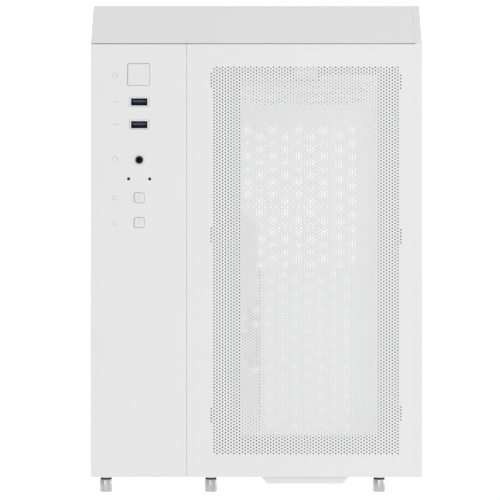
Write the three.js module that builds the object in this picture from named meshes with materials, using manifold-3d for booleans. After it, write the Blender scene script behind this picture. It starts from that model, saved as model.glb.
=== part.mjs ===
// A dual-chamber desktop computer tower: a sheet-steel chassis with a perforated front panel, a solid panel with the
// front connectors, a sloping top hood, a tempered-glass right side and a steel left side. The motherboard stands on
// the wall between the chambers, upside down, with its slots above its connectors.
// Millimetres. +X is right seen from the front, +Y goes back, +Z is up. The origin is on the floor, at the centre.
import * as THREE from 'three';
import { mergeVertices } from 'three/addons/utils/BufferGeometryUtils.js';
import Module from 'manifold-3d';

const wasm = await Module();
wasm.setup();

// ---- driving dimensions ------------------------------------------------------------------------------------------
const WIDTH = 268;
const DEPTH = 408; // over the button faces and the thumbscrew heads
const HEIGHT = 400;
const FOOT_HEIGHT = 15.5;
const HOOD_HEIGHT = 34.5;
const HOOD_SLOPE_DEPTH = 33;
const SHEET = 1.2; // every chassis and panel sheet
const GAP = 0.4; // between neighbouring pieces
const BUTTON_PROUD = 0.6;
const SCREW_HEAD = 8;
const RETURN = 12; // how far the front panels fold back

const FRONT = -DEPTH / 2 + BUTTON_PROUD; // front face of the front panels
const REAR = DEPTH / 2 - SCREW_HEAD; // outer face of the rear wall
const LEFT = -WIDTH / 2;
const RIGHT = WIDTH / 2;
const PANEL_TOP = HEIGHT - HOOD_HEIGHT;

const SEAM_X = -56.4; // between the two front panels
const SEAM_GAP = 0.6;
const SIDE_SHEET = 1.1; // left side panel
const GLASS = 4;
const GLASS_FRAME = 1.2;
const RIM = 3; // the frame's edge round the glass
const GLASS_INNER = RIGHT - GLASS - GLASS_FRAME - 0.4; // inner face of the frame behind the glass

const FRAME_FRONT = FRONT + RETURN + GAP; // front face of the inner front frame
const FRAME_BACK = FRAME_FRONT + SHEET;
const CHASSIS_LEFT = LEFT + SIDE_SHEET + GAP;
const CHASSIS_RIGHT = GLASS_INNER - GAP;
const PAN_BOTTOM = FOOT_HEIGHT + 0.3;
const PAN_TOP = PAN_BOTTOM + SHEET;
const ROOF_TOP = PANEL_TOP - 1;
const ROOF_BOTTOM = ROOF_TOP - SHEET;
const WALL_INNER = REAR - SHEET; // inner face of the rear wall
const DIVIDER_X = -43.2; // face of the divider that carries the motherboard

// The perforated part of the front panel
const MESH = { x0: -38.2, x1: 117.8, z0: 32.4, z1: 348.8, thickness: 0.8 };
// The window of the inner front frame, a good deal smaller
const WINDOW = { x0: -12.5, x1: 99, z0: 47.6, z1: 341.5 };
// Slots of the inner front frame beside the outermost holes of the mesh
const SIDE_SLOT = { x: [-37.4, 117.4], z: [66, 210.5, 336], width: 3.6, height: 13.6 };
// Snap clip behind the top of the mesh, and its slot in the inner front frame
const CLIP = { x: 40.1, z: 342.1, width: 16, height: 4.2, length: 13, slotWidth: 20, slotLow: 338.2, slotHigh: 348.4 };

// Front connectors, from the top: x and z of each centre
const PORT_X = -94.8;
const POWER_BUTTON = { x: -95.2, z: 340.8, size: 17.6, collar: 20 };
const SMALL_BUTTONS = [
  { name: 'reset_button', z: 241.2 },
  { name: 'light_button', z: 221.1 },
];
const SMALL_BUTTON = { size: 7.9, collar: 10 };
const BUTTON_CLEARANCE = 0.35;
const USB_Z = [318.7, 300.3];
const USB = { width: 13.1, height: 5.7, length: 14, wall: 0.45 };
const JACK = { z: 271.9, radius: 3.2, bore: 1.8 };
const LIGHTS = [
  { name: 'power_light', x: -103.4 },
  { name: 'drive_light', x: -86.3 },
];
const LIGHT_Z = 256.5;
const LIGHT_RADIUS = 0.95;
const IO_BOARD = { x0: -112, x1: -78, z0: 212, z1: 352, y: FRONT + 18 };

// Feet: x of each column and the distance of each row from the front and rear faces
const FOOT_X = { left: -123.8, middle: -37.4, right: 101.2 };
const FOOT_INSET = 35.4;
const FOOT = { radius: 4.85, ring: 4.6, metal: 10.1, ringHeight: 1.5, spacer: 4.45 };

// Motherboard, 305 x 244 mm, upside down: slots above, connectors below
const BOARD = {
  x0: DIVIDER_X + 6.5, x1: DIVIDER_X + 8.1,
  y0: WALL_INNER - 2 - 244, y1: WALL_INNER - 2,
  z0: 21, z1: 326,
};
const STANDOFF = { radius: 3, fromRear: [10, 165, 234], up: [12, 140, 295] };
const SLOT_PITCH = 20.32;
const SLOT_COUNT = 7;
const SLOT_FIRST_Z = 190.4;
const SLOT = { x0: DIVIDER_X + 1.4, x1: 75, overlap: 3, cover: 19.9, coverSheet: 0.9, tab: 9, tabClearance: 0.3 };
const SLOT_TAB_START = 0.5;
const SHIELD = { x0: -38.8, x1: 5.6, z0: 20.4, z1: 179.1, sheet: 1 };
const CPU = { y: 90, z: 105 };
const COOLER = { size: 94, base: 2.5, finDepth: 8, fins: 19, fin: 0.9, lift: 3, plate: 38 };
const CPU_FAN = { size: 92, bore: 44, depth: 10, hub: 17, blades: 9 };
const TIP_CLEARANCE = 1.5; // round the blades of a fan
const MEMORY = { y: [25.4, 15.9], z0: 38, length: 133.4, height: 22, thickness: 6.4, socket: 9 };
const VRM = {
  y0: 142, y1: 166, z0: 44, z1: 158, height: 22, grooves: 4, groove: 2, firstGroove: 4, pitch: 5, depth: 10,
};
const CARD_SLOT = { y0: 58, y1: 148, z: SLOT_FIRST_Z + SLOT_PITCH, width: 7.6, height: 11, groove: 1.8 };
const HEADER = { fromFront: 4, width: 9.6, z0: 96, z1: 148, height: 13 };
const ON_BOARD = 0.3; // gap between the board and what stands on it

// Power supply, 150 x 86 x 140 mm, at the bottom rear of the left chamber
const SUPPLY = {
  x0: CHASSIS_LEFT + SHEET + 0.4, width: 86, y1: WALL_INNER - GAP, depth: 140, z0: 20, height: 150, sheet: 1,
};
const SUPPLY_FAN = { bore: 60, radius: 57.5, hub: 19, depth: 16, blades: 9 };
const TOP_FAN = { x: 42, y: [-61, 61], size: 120, bore: 57.5, depth: 25, hub: 20, blades: 9 };
const DRIVE = { x0: -129.6, y0: -180, z0: 26, thickness: 26.1, length: 147, width: 101.6 };
const FLAT_DRIVE = { y0: -60, z0: 240, thickness: 7, length: 100, width: 69.8 };
const FILTER = { x0: -14, x1: 92, z0: 12.5, z1: 15.1, y0: FRONT + 36, y1: 165, bar: 7, web: 1 };
const TAB = { x0: 4.2, x1: 74.4, y0: FRONT + 4, z0: 9.7, slant: 4.6, sheet: 1.4 };
const RAIL_START = FRONT + 60;
const THUMBSCREW_Z = [190, 340];
const THUMBSCREW_X = LEFT + 5.4;

// ---- shapes ------------------------------------------------------------------------------------------------------
function solidOf(geometry) {
  const bare = geometry.clone();
  for (const name of ['normal', 'uv']) bare.deleteAttribute(name);
  const merged = mergeVertices(bare, 1e-4);
  return new wasm.Manifold(new wasm.Mesh({
    numProp: 3,
    vertProperties: new Float32Array(merged.attributes.position.array),
    triVerts: new Uint32Array(merged.index.array),
  }));
}

function geometryOf(solid) {
  const mesh = solid.getMesh();
  const geometry = new THREE.BufferGeometry();
  geometry.setAttribute('position', new THREE.BufferAttribute(mesh.vertProperties, 3));
  geometry.setIndex(new THREE.BufferAttribute(mesh.triVerts, 1));
  const flat = geometry.toNonIndexed();
  flat.computeVertexNormals();
  return flat;
}

const joined = (...solids) => solids.reduce((a, b) => a.add(b));
const without = (solid, ...tools) => tools.reduce((a, b) => a.subtract(b), solid);

function block(x0, x1, y0, y1, z0, z1) {
  const box = new THREE.BoxGeometry(x1 - x0, y1 - y0, z1 - z0);
  return solidOf(box.translate((x0 + x1) / 2, (y0 + y1) / 2, (z0 + z1) / 2));
}

// A block given by the centre of its x and z sides
const blockAt = (x, z, width, height, y0, y1) =>
  block(x - width / 2, x + width / 2, y0, y1, z - height / 2, z + height / 2);

// A round bar along an axis, from one value to another of that axis, through the point given by the other two
function bar(axis, radius, from, to, a, b, sides = 16) {
  const cylinder = new THREE.CylinderGeometry(radius, radius, to - from, sides);
  const middle = (from + to) / 2;
  if (axis === 'x') cylinder.rotateZ(Math.PI / 2).translate(middle, a, b);
  if (axis === 'y') cylinder.translate(a, middle, b);
  if (axis === 'z') cylinder.rotateX(Math.PI / 2).translate(a, b, middle);
  return solidOf(cylinder);
}

// A closed outline of [u, v] points pushed along x (u is y, v is z) or along y (u is x, v is z)
function prism(axis, points, from, to) {
  const shape = new THREE.Shape(points.map(([u, v]) => new THREE.Vector2(u, v)));
  const pushed = new THREE.ExtrudeGeometry(shape, { depth: to - from, bevelEnabled: false });
  if (axis === 'y') return solidOf(pushed.rotateX(Math.PI / 2).translate(0, to, 0));
  const turn = new THREE.Matrix4().makeBasis(
    new THREE.Vector3(0, 1, 0), new THREE.Vector3(0, 0, 1), new THREE.Vector3(1, 0, 0));
  return solidOf(pushed.applyMatrix4(turn).translate(from, 0, 0));
}

// A sheet folded back on all four sides: open at the back
function foldedPanel(x0, x1, z0, z1) {
  const outer = block(x0, x1, FRONT, FRONT + RETURN, z0, z1);
  const hollow = block(x0 + SHEET, x1 - SHEET, FRONT + SHEET, FRONT + RETURN + 1, z0 + SHEET, z1 - SHEET);
  return without(outer, hollow);
}

// A square fan housing round the z axis, its bottom at z = 0, with a hub plate on four struts
function fanFrame({ size, bore, depth, hub }) {
  const shell = without(
    block(-size / 2, size / 2, -size / 2, size / 2, 0, depth),
    bar('z', bore, -1, depth + 1, 0, 0, 32),
  );
  const strut = size / 20;
  const strutHeight = 3;
  return joined(
    shell,
    bar('z', hub, 0, strutHeight, 0, 0, 20),
    block(-bore - 1, bore + 1, -strut / 2, strut / 2, 0, strutHeight),
    block(-strut / 2, strut / 2, -bore - 1, bore + 1, 0, strutHeight),
  );
}

// An impeller round the z axis, from z = 0 up
function impeller({ radius, hub, depth, blades }) {
  const pitch = THREE.MathUtils.degToRad(38);
  const sheet = 1.6;
  const chord = (depth - 2.4) / Math.sin(pitch);
  const inner = hub - 2;
  let wheel = bar('z', hub, 0, depth, 0, 0, 24);
  for (let i = 0; i < blades; i += 1) {
    const blade = new THREE.BoxGeometry(radius - inner, chord, sheet)
      .rotateX(pitch)
      .translate((radius + inner) / 2, 0, depth / 2)
      .rotateZ((i / blades) * 2 * Math.PI);
    wheel = wheel.add(solidOf(blade));
  }
  const rim = bar('z', radius, 0, depth, 0, 0, 32);
  return wheel.intersect(rim);
}

// A cable: a round section pushed along a smooth curve through its points
function cable(points, radius, steps) {
  const curve = new THREE.CatmullRomCurve3(points.map((p) => new THREE.Vector3(...p)));
  const sides = 8;
  const section = new THREE.Shape(
    Array.from({ length: sides }, (_, i) => new THREE.Vector2(
      radius * Math.cos((i / sides) * 2 * Math.PI), radius * Math.sin((i / sides) * 2 * Math.PI))),
  );
  return solidOf(new THREE.ExtrudeGeometry(section, { steps, extrudePath: curve, bevelEnabled: false }));
}

// ---- finishes ----------------------------------------------------------------------------------------------------
const finish = (color, roughness, metalness) => new THREE.MeshStandardMaterial({ color, roughness, metalness });
const whiteSteel = finish(0xe6e6e6, 0.5, 0.1);
const whitePlastic = finish(0xe8e8e8, 0.45, 0);
const blackPlastic = finish(0x17181a, 0.5, 0);
const greyPlastic = finish(0x8d9094, 0.5, 0);
const brightSteel = finish(0xb8b9bb, 0.3, 0.9);
const aluminium = finish(0xc9cbcd, 0.4, 0.9);
const boardLacquer = finish(0xd9dbdc, 0.5, 0);
const clearGlass = new THREE.MeshStandardMaterial({ color: 0xf2f7f6, roughness: 0.05, transparent: true, opacity: 0.3 });
const cableSleeve = finish(0xdadada, 0.7, 0);
const connectorBlue = finish(0x27447c, 0.5, 0.1);

const tower = new THREE.Group();

function place(name, solid, material, position = [0, 0, 0], rotation = [0, 0, 0]) {
  const mesh = new THREE.Mesh(geometryOf(solid), material);
  mesh.name = name;
  mesh.position.set(...position);
  mesh.rotation.set(...rotation);
  tower.add(mesh);
}

// ---- chassis -----------------------------------------------------------------------------------------------------
const STUD_RADIUS = 2.2; // snap studs of the front and glass panels
const STUDS = [[-47, 45], [-47, 336], [122, 45], [122, 336]]; // x and z of the front panel's snap studs
const GLASS_STUDS = [[-150, 23], [150, 23], [-150, 357], [150, 357]]; // y and z of the glass panel's
const glassStudHoles = () => GLASS_STUDS.map(([y, z]) =>
  bar('x', STUD_RADIUS + 0.5, CHASSIS_RIGHT - SHEET - 1, CHASSIS_RIGHT + 1, y, z, 12));

function basePan() {
  const flange = 12;
  const rail = 1;
  const lip = 4;
  const y0 = FRAME_BACK + GAP;
  const y1 = WALL_INNER - GAP;
  const railTop = PAN_BOTTOM + 0.2;
  const lipTop = FILTER.z0 - 0.35;
  const leftRail = FILTER.x0 - 0.5;
  const rightRail = FILTER.x1 + 0.5;
  return without(joined(
    block(CHASSIS_LEFT, CHASSIS_RIGHT, y0, y1, PAN_BOTTOM, PAN_TOP),
    block(CHASSIS_LEFT, CHASSIS_LEFT + SHEET, y0, y1, PAN_BOTTOM, PAN_TOP + flange),
    block(CHASSIS_RIGHT - SHEET, CHASSIS_RIGHT, y0, y1, PAN_BOTTOM, PAN_TOP + flange),
    block(leftRail - rail, leftRail, RAIL_START, FILTER.y1 + 3, lipTop - rail, railTop),
    block(leftRail - rail, leftRail + lip, RAIL_START, FILTER.y1 + 3, lipTop - rail, lipTop),
    block(rightRail, rightRail + rail, RAIL_START, FILTER.y1 + 3, lipTop - rail, railTop),
    block(rightRail - lip, rightRail + rail, RAIL_START, FILTER.y1 + 3, lipTop - rail, lipTop),
  ), ...glassStudHoles());
}

function rearWall() {
  const slotsTop = SLOT_FIRST_Z + (SLOT_COUNT - 1) * SLOT_PITCH + SLOT.cover / 2;
  const slotsBottom = SLOT_FIRST_Z - SLOT.cover / 2;
  const through = [WALL_INNER - 1, REAR + 1];
  const wall = block(CHASSIS_LEFT, CHASSIS_RIGHT, WALL_INNER, REAR, PAN_BOTTOM, ROOF_TOP);
  // One opening behind all the slot covers, with no bars between them
  const slotOpening = block(
    SLOT.x0 + SLOT.overlap, SLOT.x1 - SLOT.overlap, ...through, slotsBottom + 1, slotsTop - 1);
  const tabX = SLOT.x1 + SLOT_TAB_START;
  const tabGap = block(
    tabX - SLOT.tabClearance, tabX + SLOT.coverSheet + SLOT.tabClearance, ...through, slotsBottom, slotsTop);
  const shieldOpening = block(
    SHIELD.x0 - 0.3, SHIELD.x1 + 0.3, ...through, SHIELD.z0 - 0.3, SHIELD.z1 + 0.3);
  const supplyOpening = block(
    SUPPLY.x0 + 4, SUPPLY.x0 + SUPPLY.width - 4, ...through, SUPPLY.z0 + 3, SUPPLY.z0 + SUPPLY.height - 3);
  const screwHoles = THUMBSCREW_Z.map((z) => bar('y', 2.2, ...through, THUMBSCREW_X, z, 12));
  const ledge = block(SLOT.x1 - 1.1, SLOT.x1 - 0.1, REAR - 0.4, REAR + 7.4, slotsBottom, slotsTop);
  return joined(without(wall, slotOpening, tabGap, shieldOpening, supplyOpening, ...screwHoles), ledge);
}

function frontFrame() {
  const through = [FRAME_FRONT - 1, FRAME_BACK + 1];
  const slots = SIDE_SLOT.x.flatMap((x) => SIDE_SLOT.z.map((z) =>
    blockAt(x, z, SIDE_SLOT.width, SIDE_SLOT.height, ...through)));
  const border = 2;
  const clipTab = blockAt(
    CLIP.x, WINDOW.z1, CLIP.slotWidth + 2 * border, 2 * (WINDOW.z1 - CLIP.slotLow + border), FRAME_FRONT, FRAME_BACK);
  const sheet = without(
    block(CHASSIS_LEFT, CHASSIS_RIGHT, FRAME_FRONT, FRAME_BACK, PAN_BOTTOM, ROOF_TOP),
    block(WINDOW.x0, WINDOW.x1, ...through, WINDOW.z0, WINDOW.z1),
  );
  return without(
    joined(sheet, clipTab),
    block(CLIP.x - CLIP.slotWidth / 2, CLIP.x + CLIP.slotWidth / 2, ...through, CLIP.slotLow, CLIP.slotHigh),
    block(IO_BOARD.x0 - 2, IO_BOARD.x1 + 2, ...through, IO_BOARD.z0 - 2, IO_BOARD.z1 + 2),
    ...slots,
    ...STUDS.map(([x, z]) => bar('y', STUD_RADIUS + 0.6, ...through, x, z, 12)),
  );
}

// The wall between the chambers, with cable holes and the motherboard's standoffs
const CABLE_HOLES = [
  { y0: -92, y1: -66, z0: 70, z1: 150 },
  { y0: -92, y1: -66, z0: 200, z1: 280 },
  { y0: 120, y1: 170, z0: 328, z1: 350 },
];

// A bar in front of the cable holes, square to the divider, with two wider parts that slope at 45 degrees
const CABLE_BAR = { y: -100, edge: -12, wide: 0.8, top: 335, parts: [[41.5, 92], [156, 220.5]] };

function cableBar() {
  const { y, edge, wide, top, parts } = CABLE_BAR;
  const slope = wide - edge;
  const outline = [[DIVIDER_X - 0.2, PAN_TOP + GAP], [edge, PAN_TOP + GAP]];
  for (const [low, high] of parts) outline.push([edge, low - slope], [wide, low], [wide, high], [edge, high + slope]);
  outline.push([edge, top], [DIVIDER_X - 0.2, top]);
  return prism('y', outline, y, y + SHEET);
}

function dividerWall() {
  const back = DIVIDER_X - SHEET;
  const y0 = FRAME_BACK + GAP;
  const y1 = WALL_INNER - GAP;
  const wall = without(
    block(back, DIVIDER_X, y0, y1, PAN_TOP + GAP, ROOF_BOTTOM - GAP),
    ...CABLE_HOLES.map((hole) => block(back - 1, DIVIDER_X + 1, hole.y0, hole.y1, hole.z0, hole.z1)),
  );
  const posts = [];
  for (const fromRear of STANDOFF.fromRear) {
    for (const up of STANDOFF.up) {
      const y = BOARD.y1 - fromRear;
      posts.push(bar('x', STANDOFF.radius, DIVIDER_X - 0.2, BOARD.x0 - 0.3, y, BOARD.z0 + up, 6));
    }
  }
  return joined(wall, cableBar(), ...posts);
}

function roofPlate() {
  const flange = 12;
  const y0 = FRAME_BACK + GAP;
  const y1 = WALL_INNER - GAP;
  return without(joined(
    block(CHASSIS_LEFT, CHASSIS_RIGHT, y0, y1, ROOF_BOTTOM, ROOF_TOP),
    block(CHASSIS_LEFT, CHASSIS_LEFT + SHEET, y0, y1, ROOF_BOTTOM - flange, ROOF_TOP),
    block(CHASSIS_RIGHT - SHEET, CHASSIS_RIGHT, y0, y1, ROOF_BOTTOM - flange, ROOF_TOP),
  ), ...glassStudHoles());
}

function chassis() {
  place('base_pan', basePan(), whiteSteel);
  place('rear_wall', rearWall(), whiteSteel);
  place('front_frame', frontFrame(), whiteSteel);
  place('divider_wall', dividerWall(), whiteSteel);
  place('roof_plate', roofPlate(), whiteSteel);
}

// ---- outer panels ------------------------------------------------------------------------------------------------
function frontMeshPanel() {
  const x0 = SEAM_X + SEAM_GAP / 2;
  const thinner = block(
    MESH.x0, MESH.x1, FRONT + MESH.thickness, FRONT + SHEET + 0.5, MESH.z0, MESH.z1);
  const studs = STUDS.map(([x, z]) => bar('y', STUD_RADIUS, FRONT + SHEET - 0.2, FRAME_BACK + 1.5, x, z, 12));
  const clip = blockAt(CLIP.x, CLIP.z, CLIP.width, CLIP.height, FRONT + MESH.thickness - 0.2, FRONT + CLIP.length);
  return joined(without(foldedPanel(x0, CHASSIS_RIGHT, FOOT_HEIGHT, PANEL_TOP), thinner), ...studs, clip);
}

function frontIoPanel() {
  const through = [FRONT - 1, FRONT + SHEET + 1];
  const clear = 2 * BUTTON_CLEARANCE;
  const powerHole = POWER_BUTTON.size + clear;
  const smallHole = SMALL_BUTTON.size + clear;
  const postRadius = 2;
  const posts = [];
  for (const x of [IO_BOARD.x0 + 4, IO_BOARD.x1 - 4]) {
    for (const z of [IO_BOARD.z0 + 3, IO_BOARD.z1 - 50]) {
      posts.push(bar('y', postRadius, FRONT + SHEET - 0.2, IO_BOARD.y - 0.3, x, z, 8));
    }
  }
  const sheet = without(
    foldedPanel(CHASSIS_LEFT, SEAM_X - SEAM_GAP / 2, FOOT_HEIGHT, PANEL_TOP),
    blockAt(POWER_BUTTON.x, POWER_BUTTON.z, powerHole, powerHole, ...through),
    ...USB_Z.map((z) => blockAt(PORT_X, z, USB.width + 0.8, USB.height + 0.8, ...through)),
    bar('y', JACK.radius + 0.3, ...through, PORT_X, JACK.z, 24),
    ...LIGHTS.map(({ x }) => bar('y', LIGHT_RADIUS + 0.3, ...through, x, LIGHT_Z, 12)),
    ...SMALL_BUTTONS.map(({ z }) => blockAt(PORT_X, z, smallHole, smallHole, ...through)),
  );
  return joined(sheet, ...posts);
}

function topHood() {
  const x1 = CHASSIS_RIGHT;
  const bottom = ROOF_TOP + 0.4;
  const frontBottom = PANEL_TOP + 0.8;
  const slopeTop = FRONT + HOOD_SLOPE_DEPTH;
  const outer = prism('x', [
    [FRONT, frontBottom], [FRONT + RETURN + 1, frontBottom], [FRONT + RETURN + 1, bottom],
    [REAR, bottom], [REAR, HEIGHT], [slopeTop, HEIGHT],
  ], CHASSIS_LEFT, x1);
  const lean = SHEET * Math.hypot(HOOD_HEIGHT, HOOD_SLOPE_DEPTH) / HOOD_HEIGHT;
  const hollow = prism('x', [
    [FRONT + lean, frontBottom - 1], [FRONT + RETURN, frontBottom - 1], [FRONT + RETURN, bottom - 1],
    [REAR - SHEET, bottom - 1], [REAR - SHEET, HEIGHT - SHEET], [slopeTop + 0.6, HEIGHT - SHEET],
    [FRONT + lean, frontBottom + 0.6],
  ], CHASSIS_LEFT + SHEET, x1 - SHEET);
  return without(outer, hollow);
}

const SIDE_OUTLINE = [
  [FRONT, FOOT_HEIGHT], [REAR, FOOT_HEIGHT], [REAR, HEIGHT], [FRONT + HOOD_SLOPE_DEPTH, HEIGHT],
  [FRONT, PANEL_TOP + 0.4],
];

// The side outline moved inwards all round
function insetOutline(inset) {
  const corner = inset * Math.tan(Math.PI / 8);
  return [
    [FRONT + inset, FOOT_HEIGHT + inset], [REAR - inset, FOOT_HEIGHT + inset], [REAR - inset, HEIGHT - inset],
    [FRONT + HOOD_SLOPE_DEPTH + corner, HEIGHT - inset], [FRONT + inset, PANEL_TOP + 0.4 - corner],
  ];
}

function glassPanel() {
  return prism('x', insetOutline(RIM + 0.3), RIGHT - GLASS, RIGHT - 0.2);
}

function glassFrame() {
  const x0 = GLASS_INNER;
  const x1 = x0 + GLASS_FRAME;
  const border = 14;
  const sheet = without(prism('x', SIDE_OUTLINE, x0, RIGHT), prism('x', insetOutline(RIM), x1, RIGHT + 1));
  const window = block(x0 - 1, x1 + 1, FRONT + border + 4, REAR - border, FOOT_HEIGHT + border, PANEL_TOP - border - 2);
  const studs = GLASS_STUDS.map(([y, z]) => bar('x', STUD_RADIUS, CHASSIS_RIGHT - 4, x0 + 0.2, y, z, 12));
  return joined(without(sheet, window), ...studs);
}

function leftSidePanel() {
  const y0 = FRONT + SHEET;
  const z0 = FOOT_HEIGHT + 0.3;
  const z1 = PANEL_TOP - 0.3;
  const x1 = LEFT + SIDE_SHEET;
  const flangeY = REAR + 0.3;
  const holes = THUMBSCREW_Z.map((z) => bar('y', 2.2, REAR, REAR + 3, THUMBSCREW_X, z, 12));
  return without(
    joined(
      block(LEFT, x1, y0, flangeY + SIDE_SHEET, z0, z1),
      block(LEFT, LEFT + 10, flangeY, flangeY + SIDE_SHEET, z0, z1),
    ),
    ...holes,
  );
}

function thumbscrew() {
  const profile = [
    [0, -6], [1.5, -6], [1.8, -5.6], [1.8, 1.5], [4, 1.5], [4, 2.4], [5.2, 2.8], [5.2, 6.1], [4.6, 6.6], [0, 6.6],
  ];
  return solidOf(new THREE.LatheGeometry(profile.map(([r, y]) => new THREE.Vector2(r, y)), 16));
}

// A net in a frame, with a tongue forward to the pull tab
function bottomFilter() {
  const { x0, x1, y0, y1, z0, z1, bar: side, web } = FILTER;
  const tabBack = TAB.y0 + TAB.sheet;
  return joined(
    block(x0, x1, y0, y1, z0, z0 + web),
    without(
      block(x0, x1, y0, y1, z0, z1),
      block(x0 + side, x1 - side, y0 + side, y1 - side, z0 - 1, z1 + 1),
    ),
    block(TAB.x0 + TAB.slant, TAB.x1 - TAB.slant, tabBack - 0.2, y0 + side, z1 - TAB.sheet, z1),
    prism('y', [
      [TAB.x0, z1], [TAB.x0 + TAB.slant, TAB.z0], [TAB.x1 - TAB.slant, TAB.z0], [TAB.x1, z1],
    ], TAB.y0, tabBack),
  );
}

function panels() {
  place('front_mesh_panel', frontMeshPanel(), whiteSteel);
  place('front_io_panel', frontIoPanel(), whiteSteel);
  place('top_hood', topHood(), whiteSteel);
  place('glass_panel', glassPanel(), clearGlass);
  place('glass_frame', glassFrame(), whiteSteel);
  place('left_side_panel', leftSidePanel(), whiteSteel);
  place('bottom_filter', bottomFilter(), whitePlastic);
  THUMBSCREW_Z.forEach((z, i) => {
    place(`thumbscrew_${i + 1}`, thumbscrew(), whiteSteel, [THUMBSCREW_X, REAR + 1.4, z]);
  });
}

function foot() {
  const chamfer = 0.7;
  const { radius, ring, metal, ringHeight, spacer } = FOOT;
  const profile = [
    [0, 0], [radius - chamfer, 0], [radius, chamfer], [radius, metal - chamfer], [radius - chamfer, metal],
    [ring, metal], [ring, metal + ringHeight], [spacer, metal + ringHeight], [spacer, FOOT_HEIGHT],
    [0, FOOT_HEIGHT],
  ];
  return solidOf(new THREE.LatheGeometry(profile.map(([r, z]) => new THREE.Vector2(r, z)), 20));
}

function feet() {
  const rows = { front: FRONT + FOOT_INSET, rear: REAR - FOOT_INSET + 8 };
  for (const [row, y] of Object.entries(rows)) {
    for (const [column, x] of Object.entries(FOOT_X)) {
      place(`foot_${row}_${column}`, foot(), brightSteel, [x, y, 0], [Math.PI / 2, 0, 0]);
    }
  }
}

// ---- front connectors and buttons --------------------------------------------------------------------------------
// A button: a cap through the panel, a collar behind it, and a stem towards its switch
function button(x, z, size, collar) {
  const collarFront = FRONT + SHEET + 0.3;
  const stemEnd = IO_BOARD.y - 4;
  return joined(
    blockAt(x, z, size, size, FRONT - BUTTON_PROUD, collarFront + 0.2),
    blockAt(x, z, collar, collar, collarFront, collarFront + 1.4),
    blockAt(x, z, size / 2, size / 2, collarFront + 1, stemEnd),
  );
}

function usbPort(z) {
  const { width, height, length, wall } = USB;
  const y0 = FRONT + 0.3;
  const tongueZ = z + 0.9;
  return joined(
    without(
      blockAt(PORT_X, z, width, height, y0, y0 + length),
      blockAt(PORT_X, z, width - 2 * wall, height - 2 * wall, y0 - 1, y0 + 11),
    ),
    blockAt(PORT_X, tongueZ, width - 2, 1.9, y0 + 1, y0 + 12),
  );
}

function audioJack() {
  const y0 = FRONT + 0.3;
  return without(
    joined(bar('y', JACK.radius, y0, y0 + 4, PORT_X, JACK.z, 24), blockAt(PORT_X, JACK.z, 8, 8, y0 + 3.5, y0 + 15)),
    bar('y', JACK.bore, y0 - 1, y0 + 12, PORT_X, JACK.z, 32),
  );
}

// The circuit board behind the front connectors, with one switch under each button
function ioBoard() {
  const { x0, x1, z0, z1, y } = IO_BOARD;
  const switches = [[POWER_BUTTON.x, POWER_BUTTON.z], ...SMALL_BUTTONS.map(({ z }) => [PORT_X, z])];
  return joined(
    block(x0, x1, y, y + 1.6, z0, z1),
    ...switches.map(([x, z]) => blockAt(x, z, 6, 6, y - 2, y + 0.2)),
    blockAt(PORT_X, IO_BOARD.z0 + 8, 20, 8, y + 1.4, y + 9),
  );
}

function frontConnectors() {
  place('power_button', button(POWER_BUTTON.x, POWER_BUTTON.z, POWER_BUTTON.size, POWER_BUTTON.collar), whitePlastic);
  for (const { name, z } of SMALL_BUTTONS) {
    place(name, button(PORT_X, z, SMALL_BUTTON.size, SMALL_BUTTON.collar), whitePlastic);
  }
  USB_Z.forEach((z, i) => place(`usb_port_${i + 1}`, usbPort(z), connectorBlue));
  place('audio_jack', audioJack(), blackPlastic);
  for (const { name, x } of LIGHTS) {
    place(name, bar('y', LIGHT_RADIUS, FRONT + 0.3, IO_BOARD.y - 0.3, x, LIGHT_Z, 12), greyPlastic);
  }
  place('io_board', ioBoard(), blackPlastic);
}

// ---- motherboard and what it carries -----------------------------------------------------------------------------
// Rear connector blocks: z of the centre, width along z, height off the board, and sockets [height, width, depth]
const PORT_BLOCKS = [
  { z: 168, width: 16, height: 20, sockets: [[6, 14, 4.6], [14.5, 14, 5.4]] },
  { z: 147, width: 15, height: 16.5, sockets: [[4.8, 12.4, 5], [11.8, 12.4, 5]] },
  { z: 127, width: 15, height: 16.5, sockets: [[4.8, 12.4, 5], [11.8, 12.4, 5]] },
  { z: 105, width: 17, height: 28, sockets: [[4.8, 12.4, 5], [11.8, 12.4, 5], [21.5, 11.8, 8.6]] },
  { z: 83, width: 15, height: 16.5, sockets: [[4.8, 12.4, 5], [11.8, 12.4, 5]] },
];
const AUDIO_STACK = { z: 58, width: 13, height: 37, jacks: [6.5, 18.5, 30.5], bore: 1.8 };
const NETWORK_SOCKET_UP = 21.5;
const PORT_DEPTH = 22;
const PORT_FACE = REAR + 0.6;

function rearPorts() {
  const base = BOARD.x1 + ON_BOARD;
  const y0 = BOARD.y1 - PORT_DEPTH;
  const spine = block(base, base + 4, y0, y0 + 10, AUDIO_STACK.z - 4, PORT_BLOCKS[0].z + 4);
  let ports = spine;
  for (const { z, width, height, sockets } of PORT_BLOCKS) {
    ports = ports.add(block(base, base + height, y0, PORT_FACE, z - width / 2, z + width / 2));
    for (const [up, across, tall] of sockets) {
      ports = ports.subtract(block(
        base + up - tall / 2, base + up + tall / 2, PORT_FACE - 12, PORT_FACE + 1, z - across / 2, z + across / 2));
      if (up === NETWORK_SOCKET_UP) continue;
      ports = ports.add(block(
        base + up - 0.2, base + up + 1.5, PORT_FACE - 13, PORT_FACE - 1, z - across / 2 + 1, z + across / 2 - 1));
    }
  }
  const { z, width, height, jacks, bore } = AUDIO_STACK;
  ports = ports.add(block(base, base + height, y0, PORT_FACE, z - width / 2, z + width / 2));
  for (const up of jacks) ports = ports.subtract(bar('y', bore, PORT_FACE - 10, PORT_FACE + 1, base + up, z, 32));
  return ports;
}

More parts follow.
